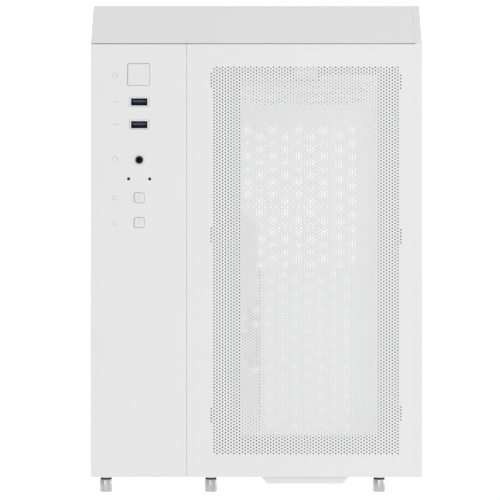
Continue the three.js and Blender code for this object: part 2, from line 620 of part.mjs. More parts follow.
function ioShield() {
  const base = BOARD.x1 + ON_BOARD;
  const clear = 0.35;
  const holes = [...PORT_BLOCKS, AUDIO_STACK].map(({ z, width, height }) => block(
    base - clear, base + height + clear, REAR - 3, REAR + 1, z - width / 2 - clear, z + width / 2 + clear));
  return without(
    block(SHIELD.x0, SHIELD.x1, REAR - 0.1 - SHIELD.sheet, REAR - 0.1, SHIELD.z0, SHIELD.z1), ...holes);
}

function slotCover(index) {
  const z = SLOT_FIRST_Z + index * SLOT_PITCH;
  const y1 = WALL_INNER - 0.35;
  const half = SLOT.cover / 2;
  const tabX = SLOT.x1 + SLOT_TAB_START;
  return joined(
    block(SLOT.x0, tabX + SLOT.coverSheet, y1 - SLOT.coverSheet, y1, z - half, z + half),
    block(tabX, tabX + SLOT.coverSheet, y1 - 0.2, y1 + SLOT.tab, z - half + 1, z + half - 1),
  );
}

// Low heatsink: a base with thin upright fins, on the processor
function cpuHeatsink() {
  const { size, base, finDepth, fins, fin, lift, plate } = COOLER;
  const x0 = BOARD.x1 + lift;
  const y0 = CPU.y - size / 2;
  const z0 = CPU.z - size / 2;
  const pitch = (size - fin) / (fins - 1);
  let sink = joined(
    block(x0, x0 + base, y0, y0 + size, z0, z0 + size),
    block(
      BOARD.x1 + ON_BOARD, x0 + 0.2, CPU.y - plate / 2, CPU.y + plate / 2, CPU.z - plate / 2, CPU.z + plate / 2),
  );
  for (let i = 0; i < fins; i += 1) {
    const z = z0 + i * pitch;
    sink = sink.add(block(x0 + base - 0.2, x0 + base + finDepth, y0, y0 + size, z, z + fin));
  }
  return sink;
}

function memoryModule(y) {
  const half = MEMORY.thickness / 2;
  const x0 = BOARD.x1 + ON_BOARD;
  const z1 = MEMORY.z0 + MEMORY.length;
  const latch = 4;
  return joined(
    block(x0, x0 + MEMORY.socket, y - half, y + half, MEMORY.z0 - latch, z1 + latch),
    block(x0 + MEMORY.socket - 1, x0 + MEMORY.height, y - half + 0.4, y + half - 0.4, MEMORY.z0, z1),
  );
}

function vrmHeatsink() {
  const { y0, y1, z0, z1, height, grooves, groove, firstGroove, pitch, depth } = VRM;
  const x0 = BOARD.x1 + ON_BOARD;
  let sink = block(x0, x0 + height, y0, y1, z0, z1);
  for (let i = 0; i < grooves; i += 1) {
    const y = y0 + firstGroove + i * pitch;
    sink = sink.subtract(block(x0 + height - depth, x0 + height + 1, y, y + groove, z0 - 1, z1 + 1));
  }
  return sink;
}

function expansionSlot() {
  const { y0, y1, z, width, height, groove } = CARD_SLOT;
  const x0 = BOARD.x1 + ON_BOARD;
  return without(
    block(x0, x0 + height, y0, y1, z - width / 2, z + width / 2),
    block(x0 + 3, x0 + height + 1, y0 + 2, y1 - 2, z - groove / 2, z + groove / 2),
  );
}

function powerHeader() {
  const { fromFront, width, z0, z1, height } = HEADER;
  const x0 = BOARD.x1 + ON_BOARD;
  const y0 = BOARD.y0 + fromFront;
  return block(x0, x0 + height, y0, y0 + width, z0, z1);
}

function motherboard() {
  place('motherboard', block(BOARD.x0, BOARD.x1, BOARD.y0, BOARD.y1, BOARD.z0, BOARD.z1), boardLacquer);
  place('rear_ports', rearPorts(), brightSteel);
  place('io_shield', ioShield(), brightSteel);
  for (let i = 0; i < SLOT_COUNT; i += 1) place(`slot_cover_${i + 1}`, slotCover(i), whiteSteel);
  place('cpu_heatsink', cpuHeatsink(), aluminium);
  const fanX = BOARD.x1 + COOLER.lift + COOLER.base + COOLER.finDepth + 0.4;
  const fan = { size: CPU_FAN.size, bore: CPU_FAN.bore, depth: CPU_FAN.depth, hub: CPU_FAN.hub };
  const turned = [0, Math.PI / 2, 0]; // the fan's own z axis along +X
  place('cpu_fan_frame', fanFrame(fan), whitePlastic, [fanX, CPU.y, CPU.z], turned);
  const rotor = {
    radius: CPU_FAN.bore - TIP_CLEARANCE, hub: CPU_FAN.hub, depth: CPU_FAN.depth - 3.8, blades: CPU_FAN.blades,
  };
  place('cpu_fan_rotor', impeller(rotor), whitePlastic, [fanX + 3.5, CPU.y, CPU.z], turned);
  MEMORY.y.forEach((y, i) => place(`memory_module_${i + 1}`, memoryModule(y), whitePlastic));
  place('vrm_heatsink', vrmHeatsink(), aluminium);
  place('expansion_slot', expansionSlot(), whitePlastic);
  place('power_header', powerHeader(), whitePlastic);
}

// ---- power supply, drives and fans -------------------------------------------------------------------------------
const SUPPLY_X1 = SUPPLY.x0 + SUPPLY.width;
const SUPPLY_Y0 = SUPPLY.y1 - SUPPLY.depth;
const SUPPLY_Z1 = SUPPLY.z0 + SUPPLY.height;
const SUPPLY_FAN_Y = (SUPPLY_Y0 + SUPPLY.y1) / 2;
const SUPPLY_FAN_Z = SUPPLY.z0 + SUPPLY.height / 2;
const INLET = { x: -64, z: 48, width: 27, height: 20 };
const SWITCH = { x: -64, z: 76, width: 15, height: 19 };

// Fan grille stamped into the case: four rings on two crossing bars
function supplyGrille() {
  const reach = SUPPLY_FAN.bore + 1;
  const span = [SUPPLY.x0, SUPPLY.x0 + SUPPLY.sheet];
  const half = 0.8;
  let grille = joined(
    block(...span, SUPPLY_FAN_Y - half, SUPPLY_FAN_Y + half, SUPPLY_FAN_Z - reach, SUPPLY_FAN_Z + reach),
    block(...span, SUPPLY_FAN_Y - reach, SUPPLY_FAN_Y + reach, SUPPLY_FAN_Z - half, SUPPLY_FAN_Z + half),
  );
  for (const radius of [16, 31, 46]) {
    const ring = without(
      bar('x', radius + half, ...span, SUPPLY_FAN_Y, SUPPLY_FAN_Z, 24),
      bar('x', radius - half, SUPPLY.x0 - 1, SUPPLY.x0 + 2, SUPPLY_FAN_Y, SUPPLY_FAN_Z, 24),
    );
    grille = grille.add(ring);
  }
  return grille;
}

function supplyCase() {
  const { x0, y1, z0, sheet } = SUPPLY;
  const cut = 0.4;
  const end = [y1 - 3, y1 + 1];
  const shell = without(
    block(x0, SUPPLY_X1, SUPPLY_Y0, y1, z0, SUPPLY_Z1),
    block(x0 + sheet, SUPPLY_X1 - sheet, SUPPLY_Y0 + sheet, y1 - sheet, z0 + sheet, SUPPLY_Z1 - sheet),
    bar('x', SUPPLY_FAN.bore, x0 - 1, x0 + sheet + 1, SUPPLY_FAN_Y, SUPPLY_FAN_Z, 36),
    blockAt(INLET.x, INLET.z, INLET.width + 2 * cut, INLET.height + 2 * cut, ...end),
    blockAt(SWITCH.x, SWITCH.z, SWITCH.width + 2 * cut, SWITCH.height + 2 * cut, ...end),
  );
  return joined(shell, supplyGrille());
}

// Three-pin inlet: a recess with its blades
function powerInlet() {
  const { x, z, width, height } = INLET;
  const face = REAR + 0.6;
  const pins = [[x - 7, z - 1.6], [x, z + 2.4], [x + 7, z - 1.6]];
  return joined(
    without(
      blockAt(x, z, width, height, SUPPLY.y1 - 16, face),
      blockAt(x, z, width - 3, height - 3.6, face - 15, face + 1),
    ),
    ...pins.map(([px, pz]) => blockAt(px, pz, 2, 4, face - 16, face - 3)),
  );
}

// A rocker switch: a rocker whose two faces meet at its axis
function supplySwitch() {
  const { x, z, width, height } = SWITCH;
  const face = REAR + 0.2;
  const half = height / 2 - 1.2;
  const outline = [
    [face - 7, z - 4], [face - 0.4, z - half], [face - 0.6, z], [face + 2.2, z + half], [face - 7, z + 4],
  ];
  return prism('x', outline, x - width / 2 + 1, x + width / 2 - 1);
}

function powerSupply() {
  place('supply_case', supplyCase(), whiteSteel);
  const rotor = {
    radius: SUPPLY_FAN.radius, hub: SUPPLY_FAN.hub, depth: SUPPLY_FAN.depth, blades: SUPPLY_FAN.blades,
  };
  place('supply_fan_rotor', impeller(rotor), whitePlastic,
    [SUPPLY.x0 + SUPPLY.sheet + 1, SUPPLY_FAN_Y, SUPPLY_FAN_Z], [0, Math.PI / 2, 0]);
  place('power_inlet', powerInlet(), blackPlastic);
  place('supply_switch', supplySwitch(), blackPlastic);
}

// An open bracket on the floor of the left chamber, with the hard drive between its arms
function driveBracket() {
  const { x0, y0, z0, thickness, length, width } = DRIVE;
  const clear = 0.5;
  const x1 = x0 + thickness;
  return without(
    block(x0, x1 + clear + SHEET, y0 - clear - SHEET, y0 + length + clear + SHEET,
      PAN_TOP + GAP, z0 + width + clear + SHEET),
    block(x0 - 1, x1 + clear, y0 - clear, y0 + length + clear, z0 - clear, z0 + width + clear),
    block(x0 - 1, x1 + clear, y0 + 12, y0 + length - 12, PAN_TOP - 1, z0 - clear - SHEET),
  );
}

function drives() {
  const { x0, y0, z0, thickness, length, width } = DRIVE;
  place('drive_bracket', driveBracket(), whiteSteel);
  place('hard_drive', block(x0, x0 + thickness, y0, y0 + length, z0, z0 + width), aluminium);
  const back = DIVIDER_X - SHEET - 0.4;
  const flat = FLAT_DRIVE;
  place('solid_state_drive',
    block(back - flat.thickness, back, flat.y0, flat.y0 + flat.length, flat.z0, flat.z0 + flat.width), greyPlastic);
}

function topFans() {
  const { x, size, bore, depth, hub, blades } = TOP_FAN;
  const z0 = ROOF_BOTTOM - GAP - depth;
  const rotor = { radius: bore - TIP_CLEARANCE, hub, depth: depth - 6, blades };
  TOP_FAN.y.forEach((y, i) => {
    place(`top_fan_frame_${i + 1}`, fanFrame({ size, bore, depth, hub }), whitePlastic, [x, y, z0]);
    place(`top_fan_rotor_${i + 1}`, impeller(rotor), whitePlastic, [x, y, z0 + 4]);
  });
}

// Cables held inside the case: the board's supply lead and the front connectors' lead
const MAIN_CABLE_RADIUS = 5;
const FRONT_CABLE_RADIUS = 2.5;
const CABLE_STEPS = 30;

function cables() {
  const headerX = BOARD.x1 + ON_BOARD + HEADER.height + 0.5;
  const headerY = BOARD.y0 + HEADER.fromFront + HEADER.width / 2;
  place('main_power_cable', cable([
    [headerX, headerY, 122], [headerX + 4, headerY, 122], [headerX + 14, headerY - 4, 121], [headerX + 17, headerY - 17, 118],
    [-22, -79, 112], [-44, -80, 110], [-60, -72, 110], [-72, -30, 108], [-79, 20, 102], [-80, SUPPLY_Y0 - 8, 100],
    [-80, SUPPLY_Y0 - 0.5, 100],
  ], MAIN_CABLE_RADIUS, CABLE_STEPS), cableSleeve);
  place('front_io_cable', cable([
    [PORT_X, IO_BOARD.y + 9.4, 220], [PORT_X + 1, IO_BOARD.y + 24, 218], [-88, -150, 200], [-70, -128, 180],
    [-56, -104, 150], [-50, -86, 142], [-43, -78, 141], [-34, -72, 143], [-29, -62, 150],
  ], FRONT_CABLE_RADIUS, CABLE_STEPS), cableSleeve);
}

chassis();
panels();
feet();
frontConnectors();
motherboard();
powerSupply();
drives();
topFans();
cables();

export default tower;
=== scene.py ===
# Looks of the desktop computer tower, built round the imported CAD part.
# Lengths are in millimetres unless said otherwise; MM turns them into Blender's metres when a mesh is made.
import math
import random

import bmesh
import bpy
from mathutils import Matrix, Vector


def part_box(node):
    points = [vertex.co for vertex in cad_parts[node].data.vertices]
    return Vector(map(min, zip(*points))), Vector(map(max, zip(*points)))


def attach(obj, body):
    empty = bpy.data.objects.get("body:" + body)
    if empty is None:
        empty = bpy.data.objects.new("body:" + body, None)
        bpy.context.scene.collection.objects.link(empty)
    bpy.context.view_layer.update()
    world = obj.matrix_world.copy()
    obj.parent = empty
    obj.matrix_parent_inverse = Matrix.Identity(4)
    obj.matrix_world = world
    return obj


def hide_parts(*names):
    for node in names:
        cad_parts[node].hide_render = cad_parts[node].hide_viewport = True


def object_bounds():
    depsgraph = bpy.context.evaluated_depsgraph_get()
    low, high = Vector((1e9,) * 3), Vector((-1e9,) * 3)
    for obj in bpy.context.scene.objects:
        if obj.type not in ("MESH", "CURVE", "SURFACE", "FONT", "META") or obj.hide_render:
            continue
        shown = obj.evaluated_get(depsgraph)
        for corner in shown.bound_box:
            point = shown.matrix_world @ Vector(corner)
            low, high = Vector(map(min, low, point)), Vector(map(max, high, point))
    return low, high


MM = 0.001

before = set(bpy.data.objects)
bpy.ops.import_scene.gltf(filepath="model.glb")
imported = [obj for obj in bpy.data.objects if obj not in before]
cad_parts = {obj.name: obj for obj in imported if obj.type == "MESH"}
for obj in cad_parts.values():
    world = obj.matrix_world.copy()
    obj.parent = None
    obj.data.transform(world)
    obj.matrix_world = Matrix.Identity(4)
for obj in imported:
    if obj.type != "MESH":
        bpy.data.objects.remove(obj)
cad_box = [list(corner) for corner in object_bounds()]
scene = bpy.context.scene


def box(node):
    """Lowest and highest corner of a CAD node, in millimetres."""
    low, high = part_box(node)
    return Vector(low) / MM, Vector(high) / MM


def middle(node):
    low, high = box(node)
    return (low + high) / 2


# ---- camera, floor and light -------------------------------------------------------------------------------------
FRONT = box("front_io_panel")[0].y
SENSOR = 36.0
LENS = 158.801112
VIEW_DISTANCE = 1783.0
VIEW_HEIGHT = 199.0
VIEW_SIDE = -5.2


def add_camera():
    data = bpy.data.cameras.new("camera")
    camera = bpy.data.objects.new("camera", data)
    scene.collection.objects.link(camera)
    camera.location = Vector((VIEW_SIDE, FRONT - VIEW_DISTANCE, VIEW_HEIGHT)) * MM
    camera.rotation_euler = (math.pi / 2, 0, 0)
    data.sensor_width = SENSOR
    data.lens = LENS
    data.clip_end = 50
    scene.camera = camera


def linear(hex_colour):
    """sRGB hex to linear red, green, blue and alpha."""
    values = [int(hex_colour[i:i + 2], 16) / 255 for i in (1, 3, 5)]
    turned = [v / 12.92 if v <= 0.04045 else ((v + 0.055) / 1.055) ** 2.4 for v in values]
    return (*turned, 1.0)


def add_node(tree, kind, inputs=None, **settings):
    """Adds a node, sets its properties, and sets or links its inputs by name or number."""
    node = tree.nodes.new(kind)
    for name, value in settings.items():
        setattr(node, name, value)
    for key, value in (inputs or {}).items():
        socket = node.inputs[key]
        if isinstance(value, bpy.types.NodeSocket):
            tree.links.new(value, socket)
        else:
            socket.default_value = value
    return node


def new_material(name):
    material = bpy.data.materials.new(name)
    material.use_nodes = True
    material.node_tree.nodes.clear()
    return material, material.node_tree


def finished(material, shader_inputs):
    """Ends a material with one shader for an opaque surface, and gives the material back."""
    tree = material.node_tree
    shader = add_node(tree, "ShaderNodeBsdfPrincipled", shader_inputs)
    add_node(tree, "ShaderNodeOutputMaterial", {"Surface": shader.outputs["BSDF"]})
    return material


def object_place(tree):
    return add_node(tree, "ShaderNodeTexCoord").outputs["Object"]


def noise(tree, place, grain, detail=2.0):
    """Noise whose grain is given in millimetres."""
    return add_node(tree, "ShaderNodeTexNoise",
                    {"Vector": place, "Scale": 1 / (grain * MM), "Detail": detail}).outputs["Fac"]


def ramp(tree, factor, low, high):
    """Maps 0..1 to low..high."""
    return add_node(tree, "ShaderNodeMapRange", {"Value": factor, "To Min": low, "To Max": high}).outputs["Result"]


def two_tones(tree, factor, first, second):
    mixed = add_node(tree, "ShaderNodeMix", {"Factor": factor}, data_type="RGBA")
    mixed.inputs[6].default_value = linear(first)
    mixed.inputs[7].default_value = linear(second)
    return mixed.outputs[2]


def bump(tree, height, depth):
    """Bump whose depth is in millimetres."""
    return add_node(tree, "ShaderNodeBump",
                    {"Height": height, "Distance": depth * MM, "Strength": 1.0}).outputs["Normal"]


def coated(name, light, dark, grain, depth, rough, metallic=0.0):
    """A painted or moulded finish: a slight drift of tone, and a fine grain that breaks up the reflection."""
    material, tree = new_material(name)
    place = object_place(tree)
    drift = noise(tree, place, 60)
    fine = noise(tree, place, grain)
    return finished(material, {
        "Base Color": two_tones(tree, drift, light, dark),
        "Roughness": ramp(tree, fine, rough - 0.06, rough + 0.06),
        "Metallic": metallic,
        "Normal": bump(tree, fine, depth),
    })


def brushed(name, light, dark, along, rough):
    """Bare metal with drawn lines: noise stretched along one axis."""
    material, tree = new_material(name)
    scale = [1.0, 1.0, 1.0]
    scale["xyz".index(along)] = 0.02
    drawn_out = add_node(tree, "ShaderNodeMapping", {"Vector": object_place(tree), "Scale": scale}).outputs["Vector"]
    lines = noise(tree, drawn_out, 0.5, 3)
    return finished(material, {
        "Base Color": two_tones(tree, lines, light, dark),
        "Roughness": ramp(tree, lines, rough - 0.08, rough + 0.1),
        "Metallic": 1.0,
        "Normal": bump(tree, lines, 0.02),
    })


def clear_glass():
    """Tempered glass: nearly clear seen straight on, with faint dust that catches the light."""
    material, tree = new_material("tempered_glass")
    dust = noise(tree, object_place(tree), 8)
    see_through = add_node(tree, "ShaderNodeBsdfTransparent", {"Color": linear("#FCFDFD")})
    gloss = add_node(tree, "ShaderNodeBsdfGlossy", {"Roughness": ramp(tree, dust, 0.01, 0.05)})
    # how much is mirrored: 4 in 100 straight on and ever more towards grazing, the same from both sides of the sheet
    slant = add_node(tree, "ShaderNodeLayerWeight", {"Blend": 0.5}).outputs["Facing"]
    steep = add_node(tree, "ShaderNodeMath", {0: slant, 1: 5.0}, operation="POWER").outputs[0]
    share = ramp(tree, steep, 0.04, 0.9)
    mixed = add_node(tree, "ShaderNodeMixShader", {0: share, 1: see_through.outputs[0], 2: gloss.outputs[0]})
    add_node(tree, "ShaderNodeOutputMaterial", {"Surface": mixed.outputs[0]})
    return material


def lacquered_board():
    """White solder lacquer over copper: faint tracks, as fine rectangular steps."""
    material, tree = new_material("solder_lacquer")
    place = object_place(tree)
    tracks = add_node(tree, "ShaderNodeTexVoronoi", {"Vector": place, "Scale": 1 / (2.4 * MM), "Randomness": 0.8},
                      distance="MANHATTAN", feature="F1")
    soft = ramp(tree, tracks.outputs["Distance"], 0.0, 1.0)
    return finished(material, {
        "Base Color": two_tones(tree, soft, "#DFE1E2", "#C6CACC"),
        "Roughness": 0.38,
        "Normal": bump(tree, soft, 0.04),
    })


def woven_sleeve():
    """Braided cable sleeve: a crossed weave, about 1 mm."""
    material, tree = new_material("braided_sleeve")
    place = object_place(tree)
    weave = add_node(tree, "ShaderNodeTexChecker", {"Vector": place, "Scale": 1 / (0.9 * MM)})
    fuzz = noise(tree, place, 0.3)
    return finished(material, {
        "Base Color": two_tones(tree, weave.outputs["Fac"], "#DADADA", "#B9B9B9"),
        "Roughness": ramp(tree, fuzz, 0.75, 0.95),
        "Normal": bump(tree, weave.outputs["Fac"], 0.2),
    })


def filter_cloth():
    """Fine white filter net: a square weave of 0.8 mm, the hollows between its threads painted darker as their shade.
    """
    material, tree = new_material("filter_net")
    place = object_place(tree)
    parts = add_node(tree, "ShaderNodeSeparateXYZ", {"Vector": place})
    threads = []
    for axis in ("X", "Y"):
        wave = add_node(tree, "ShaderNodeMath",
                        {0: parts.outputs[axis], 1: 2 * math.pi / (0.8 * MM)}, operation="MULTIPLY")
        threads.append(add_node(tree, "ShaderNodeMath", {0: wave.outputs[0]}, operation="SINE").outputs[0])
    both = add_node(tree, "ShaderNodeMath", {0: threads[0], 1: threads[1]}, operation="MAXIMUM").outputs[0]
    height = ramp(tree, both, 0.0, 1.0)
    return finished(material, {
        # darker where the weave is low: painted shade in its hollows
        "Base Color": two_tones(tree, height, "#9A9A9A", "#E4E4E4"),
        "Roughness": 0.7,
        "Normal": bump(tree, height, 0.2),
    })


MATERIALS = {
    # what each gives the eye is said in the function that makes it
    "powder_coat": coated("powder_coated_steel", "#E7E7E7", "#E4E4E4", 0.35, 0.006, 0.5),
    # the same white steel as the outer panels, painted lighter: painted light that makes the dim inside of the case
    # look as bright as the outside
    "painted_light_coat": coated("powder_coat_painted_lighter", "#FCFCFC", "#FAFAFA", 0.35, 0.006, 0.55),
    # white steel painted dark grey: painted shade for the deep gap behind the front mesh
    "painted_shade_coat": coated("grey_painted_shade_steel", "#4C4C4C", "#484848", 0.35, 0.006, 0.6),
    "white_plastic": coated("satin_white_plastic", "#E6E6E6", "#E2E2E2", 0.2, 0.003, 0.4),
    "white_liner": coated("matt_white_plastic", "#DEDEDE", "#D8D8D8", 0.3, 0.006, 0.6),
    "black_plastic": coated("satin_black_plastic", "#1B1C1E", "#141517", 0.2, 0.004, 0.42),
    # dark navy on the ports' steel shells and backs: painted shade for the inside of the port
    "port_shade_navy": coated("dark_blue_painted_port_shade", "#141829", "#10131F", 0.2, 0.003, 0.4),
    "tongue_blue": coated("blue_connector_plastic", "#34466F", "#2C3C62", 0.2, 0.003, 0.3),
    "grey_ink": coated("grey_print", "#C3C4C6", "#BDBEC0", 0.2, 0.001, 0.6),
    "grey_plastic": coated("satin_grey_plastic", "#7C7F83", "#74777B", 0.2, 0.004, 0.45),
    "rubber": coated("black_rubber", "#232323", "#1A1A1A", 0.4, 0.02, 0.8),
    "gold": coated("gold_contacts", "#D9B45A", "#CFA94E", 0.2, 0.002, 0.3, metallic=1.0),
    "steel": brushed("turned_steel", "#DCDCDC", "#A6A7A9", "z", 0.24),
    "shell_steel": brushed("stamped_steel", "#D2D3D5", "#B9BABC", "y", 0.3),
    "aluminium": brushed("drawn_aluminium", "#DADBDC", "#BFC1C3", "y", 0.35),
    "glass": clear_glass(),
    "board": lacquered_board(),
    "sleeve": woven_sleeve(),
    "net": filter_cloth(),
}


FLOOR_GLOW = 0.93
BACKDROP = 1.35  # strong white behind the tower, as it shows in the holes that line up
AMBIENT_LOW, AMBIENT_HIGH = 0.5, 0.9  # light of the surround at the horizon and overhead
LIGHTS = {
    # place, side of the square and power in watts: the key stands low at the right, so it reaches in through the glass
    "key": ((2.3, -1.7, 0.35), 2.0, 33.5),
    "side": ((2.0, -0.3, 0.3), 1.0, 9.0),
    "fill": ((-1.7, 1.8, 0.6), 2.0, 5.0),
}


def add_floor():
    bpy.ops.mesh.primitive_plane_add(size=30, location=(0, 0, -0.0002))
    floor = bpy.context.object
    floor.name = "floor"
    material, tree = new_material("pale_floor")
    mottle = noise(tree, object_place(tree), 40)
    finished(material, {
        "Base Color": two_tones(tree, mottle, "#6C6C6C", "#696969"),
        "Roughness": 1.0,
        "Specular IOR Level": 0.0,
        "Emission Color": (1, 1, 1, 1),
        "Emission Strength": FLOOR_GLOW,
    })
    floor.data.materials.append(material)


def add_surround():
    """White all round, a little dimmer overhead, and dimmer as a light than as a backdrop."""
    world = bpy.data.worlds.new("studio")
    world.use_nodes = True
    scene.world = world
    tree = world.node_tree
    tree.nodes.clear()
    direction = add_node(tree, "ShaderNodeTexCoord").outputs["Generated"]
    height = add_node(tree, "ShaderNodeSeparateXYZ", {"Vector": direction}).outputs["Z"]
    ambient = ramp(tree, height, AMBIENT_LOW, AMBIENT_HIGH)
    backdrop = add_node(tree, "ShaderNodeLightPath").outputs["Is Camera Ray"]
    strength = add_node(tree, "ShaderNodeMix", {"Factor": backdrop}, data_type="FLOAT")
    tree.links.new(ambient, strength.inputs[2])
    strength.inputs[3].default_value = BACKDROP
    background = add_node(tree, "ShaderNodeBackground",
                          {"Color": (1, 1, 1, 1), "Strength": strength.outputs[0]})
    add_node(tree, "ShaderNodeOutputWorld", {"Surface": background.outputs[0]})
    scene.view_settings.view_transform = "Standard"


def add_lights():
    target = Vector((0, 0, 0.2))
    for name, (place, side, power) in LIGHTS.items():
        data = bpy.data.lights.new(name, "AREA")
        data.size = side
        data.energy = power
        light = bpy.data.objects.new(name, data)
        scene.collection.objects.link(light)
        light.location = place
        light.rotation_euler = (Vector(place) - target).to_track_quat("Z", "Y").to_euler()


# ---- shapes ------------------------------------------------------------------------------------------------------
def object_of(name, mesh):
    piece = bpy.data.objects.new(name, mesh)
    scene.collection.objects.link(piece)
    return piece


def mesh_object(name, finishes, smooth_angle):
    """Joins bmeshes (in millimetres) into one object; finishes gives each material the shapes that show it."""
    total = bmesh.new()
    for number, shapes in enumerate(finishes.values()):
        for shape in shapes:
            for face in shape.faces:
                face.material_index = number
            part = bpy.data.meshes.new("part")
            shape.to_mesh(part)
            shape.free()
            total.from_mesh(part)
            bpy.data.meshes.remove(part)
    bmesh.ops.scale(total, vec=(MM, MM, MM), verts=total.verts)
    for face in total.faces:
        face.smooth = True
    for edge in total.edges:
        if len(edge.link_faces) != 2 or edge.calc_face_angle(0) > math.radians(smooth_angle):
            edge.smooth = False
    whole = bpy.data.meshes.new(name)
    total.to_mesh(whole)
    total.free()
    for key in finishes:
        whole.materials.append(MATERIALS[key])
    return object_of(name, whole)


def add_piece(name, body, slot, finishes, *nodes, smooth_angle=35):
    """A piece that moves with a body and stands for these CAD nodes, with the finishes given for its shapes; slot is
    not used.
    """
    piece = mesh_object(name, finishes, smooth_angle)
    if nodes:
        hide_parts(*nodes)
    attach(piece, body)


def keep_flat(shape, axes):
    """Parts the flat faces across these axes from their rounded edges, so that no soft shade creeps over them."""
    shape.normal_update()
    for edge in shape.edges:
        flat = [any(abs(face.normal.dot(axis)) > 0.9999 for axis in axes) for face in edge.link_faces]
        if len(set(flat)) == 2:
            edge.smooth = False


def block(low, high, bevel=0.3, segments=2):
    """A box with rounded edges."""
    shape = bmesh.new()
    size = [b - a for a, b in zip(low, high)]
    centre = [(a + b) / 2 for a, b in zip(low, high)]
    bmesh.ops.create_cube(shape, size=1, matrix=Matrix.Translation(centre) @ Matrix.Diagonal((*size, 1)))
    if bevel:
        bmesh.ops.bevel(shape, geom=shape.edges, offset=min(bevel, min(size) * 0.45), segments=segments,
                        profile=0.5, affect="EDGES", clamp_overlap=True)
        keep_flat(shape, AXES.values())
    return shape


AXES = {"x": Vector((1, 0, 0)), "y": Vector((0, 1, 0)), "z": Vector((0, 0, 1))}


def turn_to(axis):
    """Rotation that takes +Z to the axis."""
    return AXES[axis].to_track_quat("Z", "Y").to_matrix().to_4x4()


def lathe(profile, axis, centre, sides=32):
    """A closed solid of revolution: profile is (radius, height) from the axis back to the axis."""
    shape = bmesh.new()
    rings = []
    for radius, height in profile:
        if radius < 1e-6:
            rings.append([shape.verts.new((0, 0, height))])
            continue
        rings.append([shape.verts.new((*point, height)) for point in circle(0, 0, radius, sides)])
    for lower, upper in zip(rings, rings[1:]):
        for i in range(sides):
            j = (i + 1) % sides
            corners = [lower[i % len(lower)], lower[j % len(lower)], upper[j % len(upper)], upper[i % len(upper)]]
            unique = list(dict.fromkeys(corners))
            if len(unique) > 2:
                shape.faces.new(unique)
    bmesh.ops.recalc_face_normals(shape, faces=shape.faces)
    shape.transform(Matrix.Translation(centre) @ turn_to(axis))
    return shape


def rounded(cu, cv, width, height, radius, steps=5):
    """Corner-rounded rectangle as a list of points, anticlockwise."""
    points = []
    for quarter, (su, sv) in enumerate(((1, 1), (-1, 1), (-1, -1), (1, -1))):
        for i in range(steps + 1):
            angle = (quarter + i / steps) * math.pi / 2
            points.append((cu + su * (width / 2 - radius) + radius * math.cos(angle),
                           cv + sv * (height / 2 - radius) + radius * math.sin(angle)))
    return points


def circle(cu, cv, radius, sides=28, turn=0.0):
    """Points on a circle, turned by a part of one side."""
    angles = [2 * math.pi * (i + turn) / sides for i in range(sides)]
    return [(cu + radius * math.cos(a), cv + radius * math.sin(a)) for a in angles]


def rectangle(u0, u1, v0, v1):
    return [(u0, v0), (u1, v0), (u1, v1), (u0, v1)]


# The two axes of each flat side; the axis across them is their cross product, the side that is shown
PLANES = {"front": "xz", "rear": "xz", "side": "yz", "floor": "xy"}


def across(plane):
    first, second = PLANES[plane]
    return AXES[first].cross(AXES[second])


def onto(plane, level, u=0.0, v=0.0):
    """Takes a shape from x and y to the plane, moved by u and v in it and to a level on the axis across it."""
    u_axis, v_axis = (AXES[axis] for axis in PLANES[plane])
    third = (Vector((1, 1, 1)) - u_axis - v_axis) * level
    turned = Matrix((u_axis, v_axis, across(plane))).transposed().to_4x4()
    return Matrix.Translation(third + u_axis * u + v_axis * v) @ turned


def face_of(low, high, plane, radius, wider=0.0, taller=0.0):
    """The rounded outline of a box seen square on, grown by so much in all."""
    first, second = ("xyz".index(axis) for axis in PLANES[plane])
    return rounded((low[first] + high[first]) / 2, (low[second] + high[second]) / 2,
                   high[first] - low[first] + wider, high[second] - low[second] + taller, radius)


def plate(plane, loops, start, end, bevel=0.3):
    """A flat sheet with holes, its edges rounded: loops are outlines, the first the outside one."""
    curve = bpy.data.curves.new("sheet", "CURVE")
    curve.dimensions = "2D"
    curve.fill_mode = "BOTH"
    curve.extrude = (end - start) / 2 - bevel
    curve.bevel_depth = bevel
    curve.bevel_resolution = 1
    curve.offset = -bevel
    for loop in loops:
        spline = curve.splines.new("POLY")
        spline.points.add(len(loop) - 1)
        for point, (u, v) in zip(spline.points, loop):
            point.co = (u, v, 0, 1)
        spline.use_cyclic_u = True
    holder = object_of("sheet", curve)
    mesh = holder.to_mesh()
    shape = bmesh.new()
    shape.from_mesh(mesh)
    holder.to_mesh_clear()
    bpy.data.objects.remove(holder)
    bpy.data.curves.remove(curve)
    bmesh.ops.remove_doubles(shape, verts=shape.verts, dist=1e-4)
    shape.transform(onto(plane, (start + end) / 2))
    bmesh.ops.recalc_face_normals(shape, faces=shape.faces)
    keep_flat(shape, [across(plane)])
    return shape


# ---- perforations ------------------------------------------------------------------------------------------------
PITCH = 2.603
COLUMN = 2.287
HOLE = 0.59
REAR_HOLE = 0.62
HOLE_SIDES = 8
COARSE = {"pitch": 5.2, "hole": 1.85}  # the hood's, left panel's and supply's perforation


def pattern(name, shape):
    """A small shape kept only as a pattern for the geometry nodes."""
    shape.transform(Matrix.Diagonal((MM, MM, MM, 1)))
    mesh = bpy.data.meshes.new(name)
    shape.to_mesh(mesh)
    shape.free()
    return object_of(name, mesh)


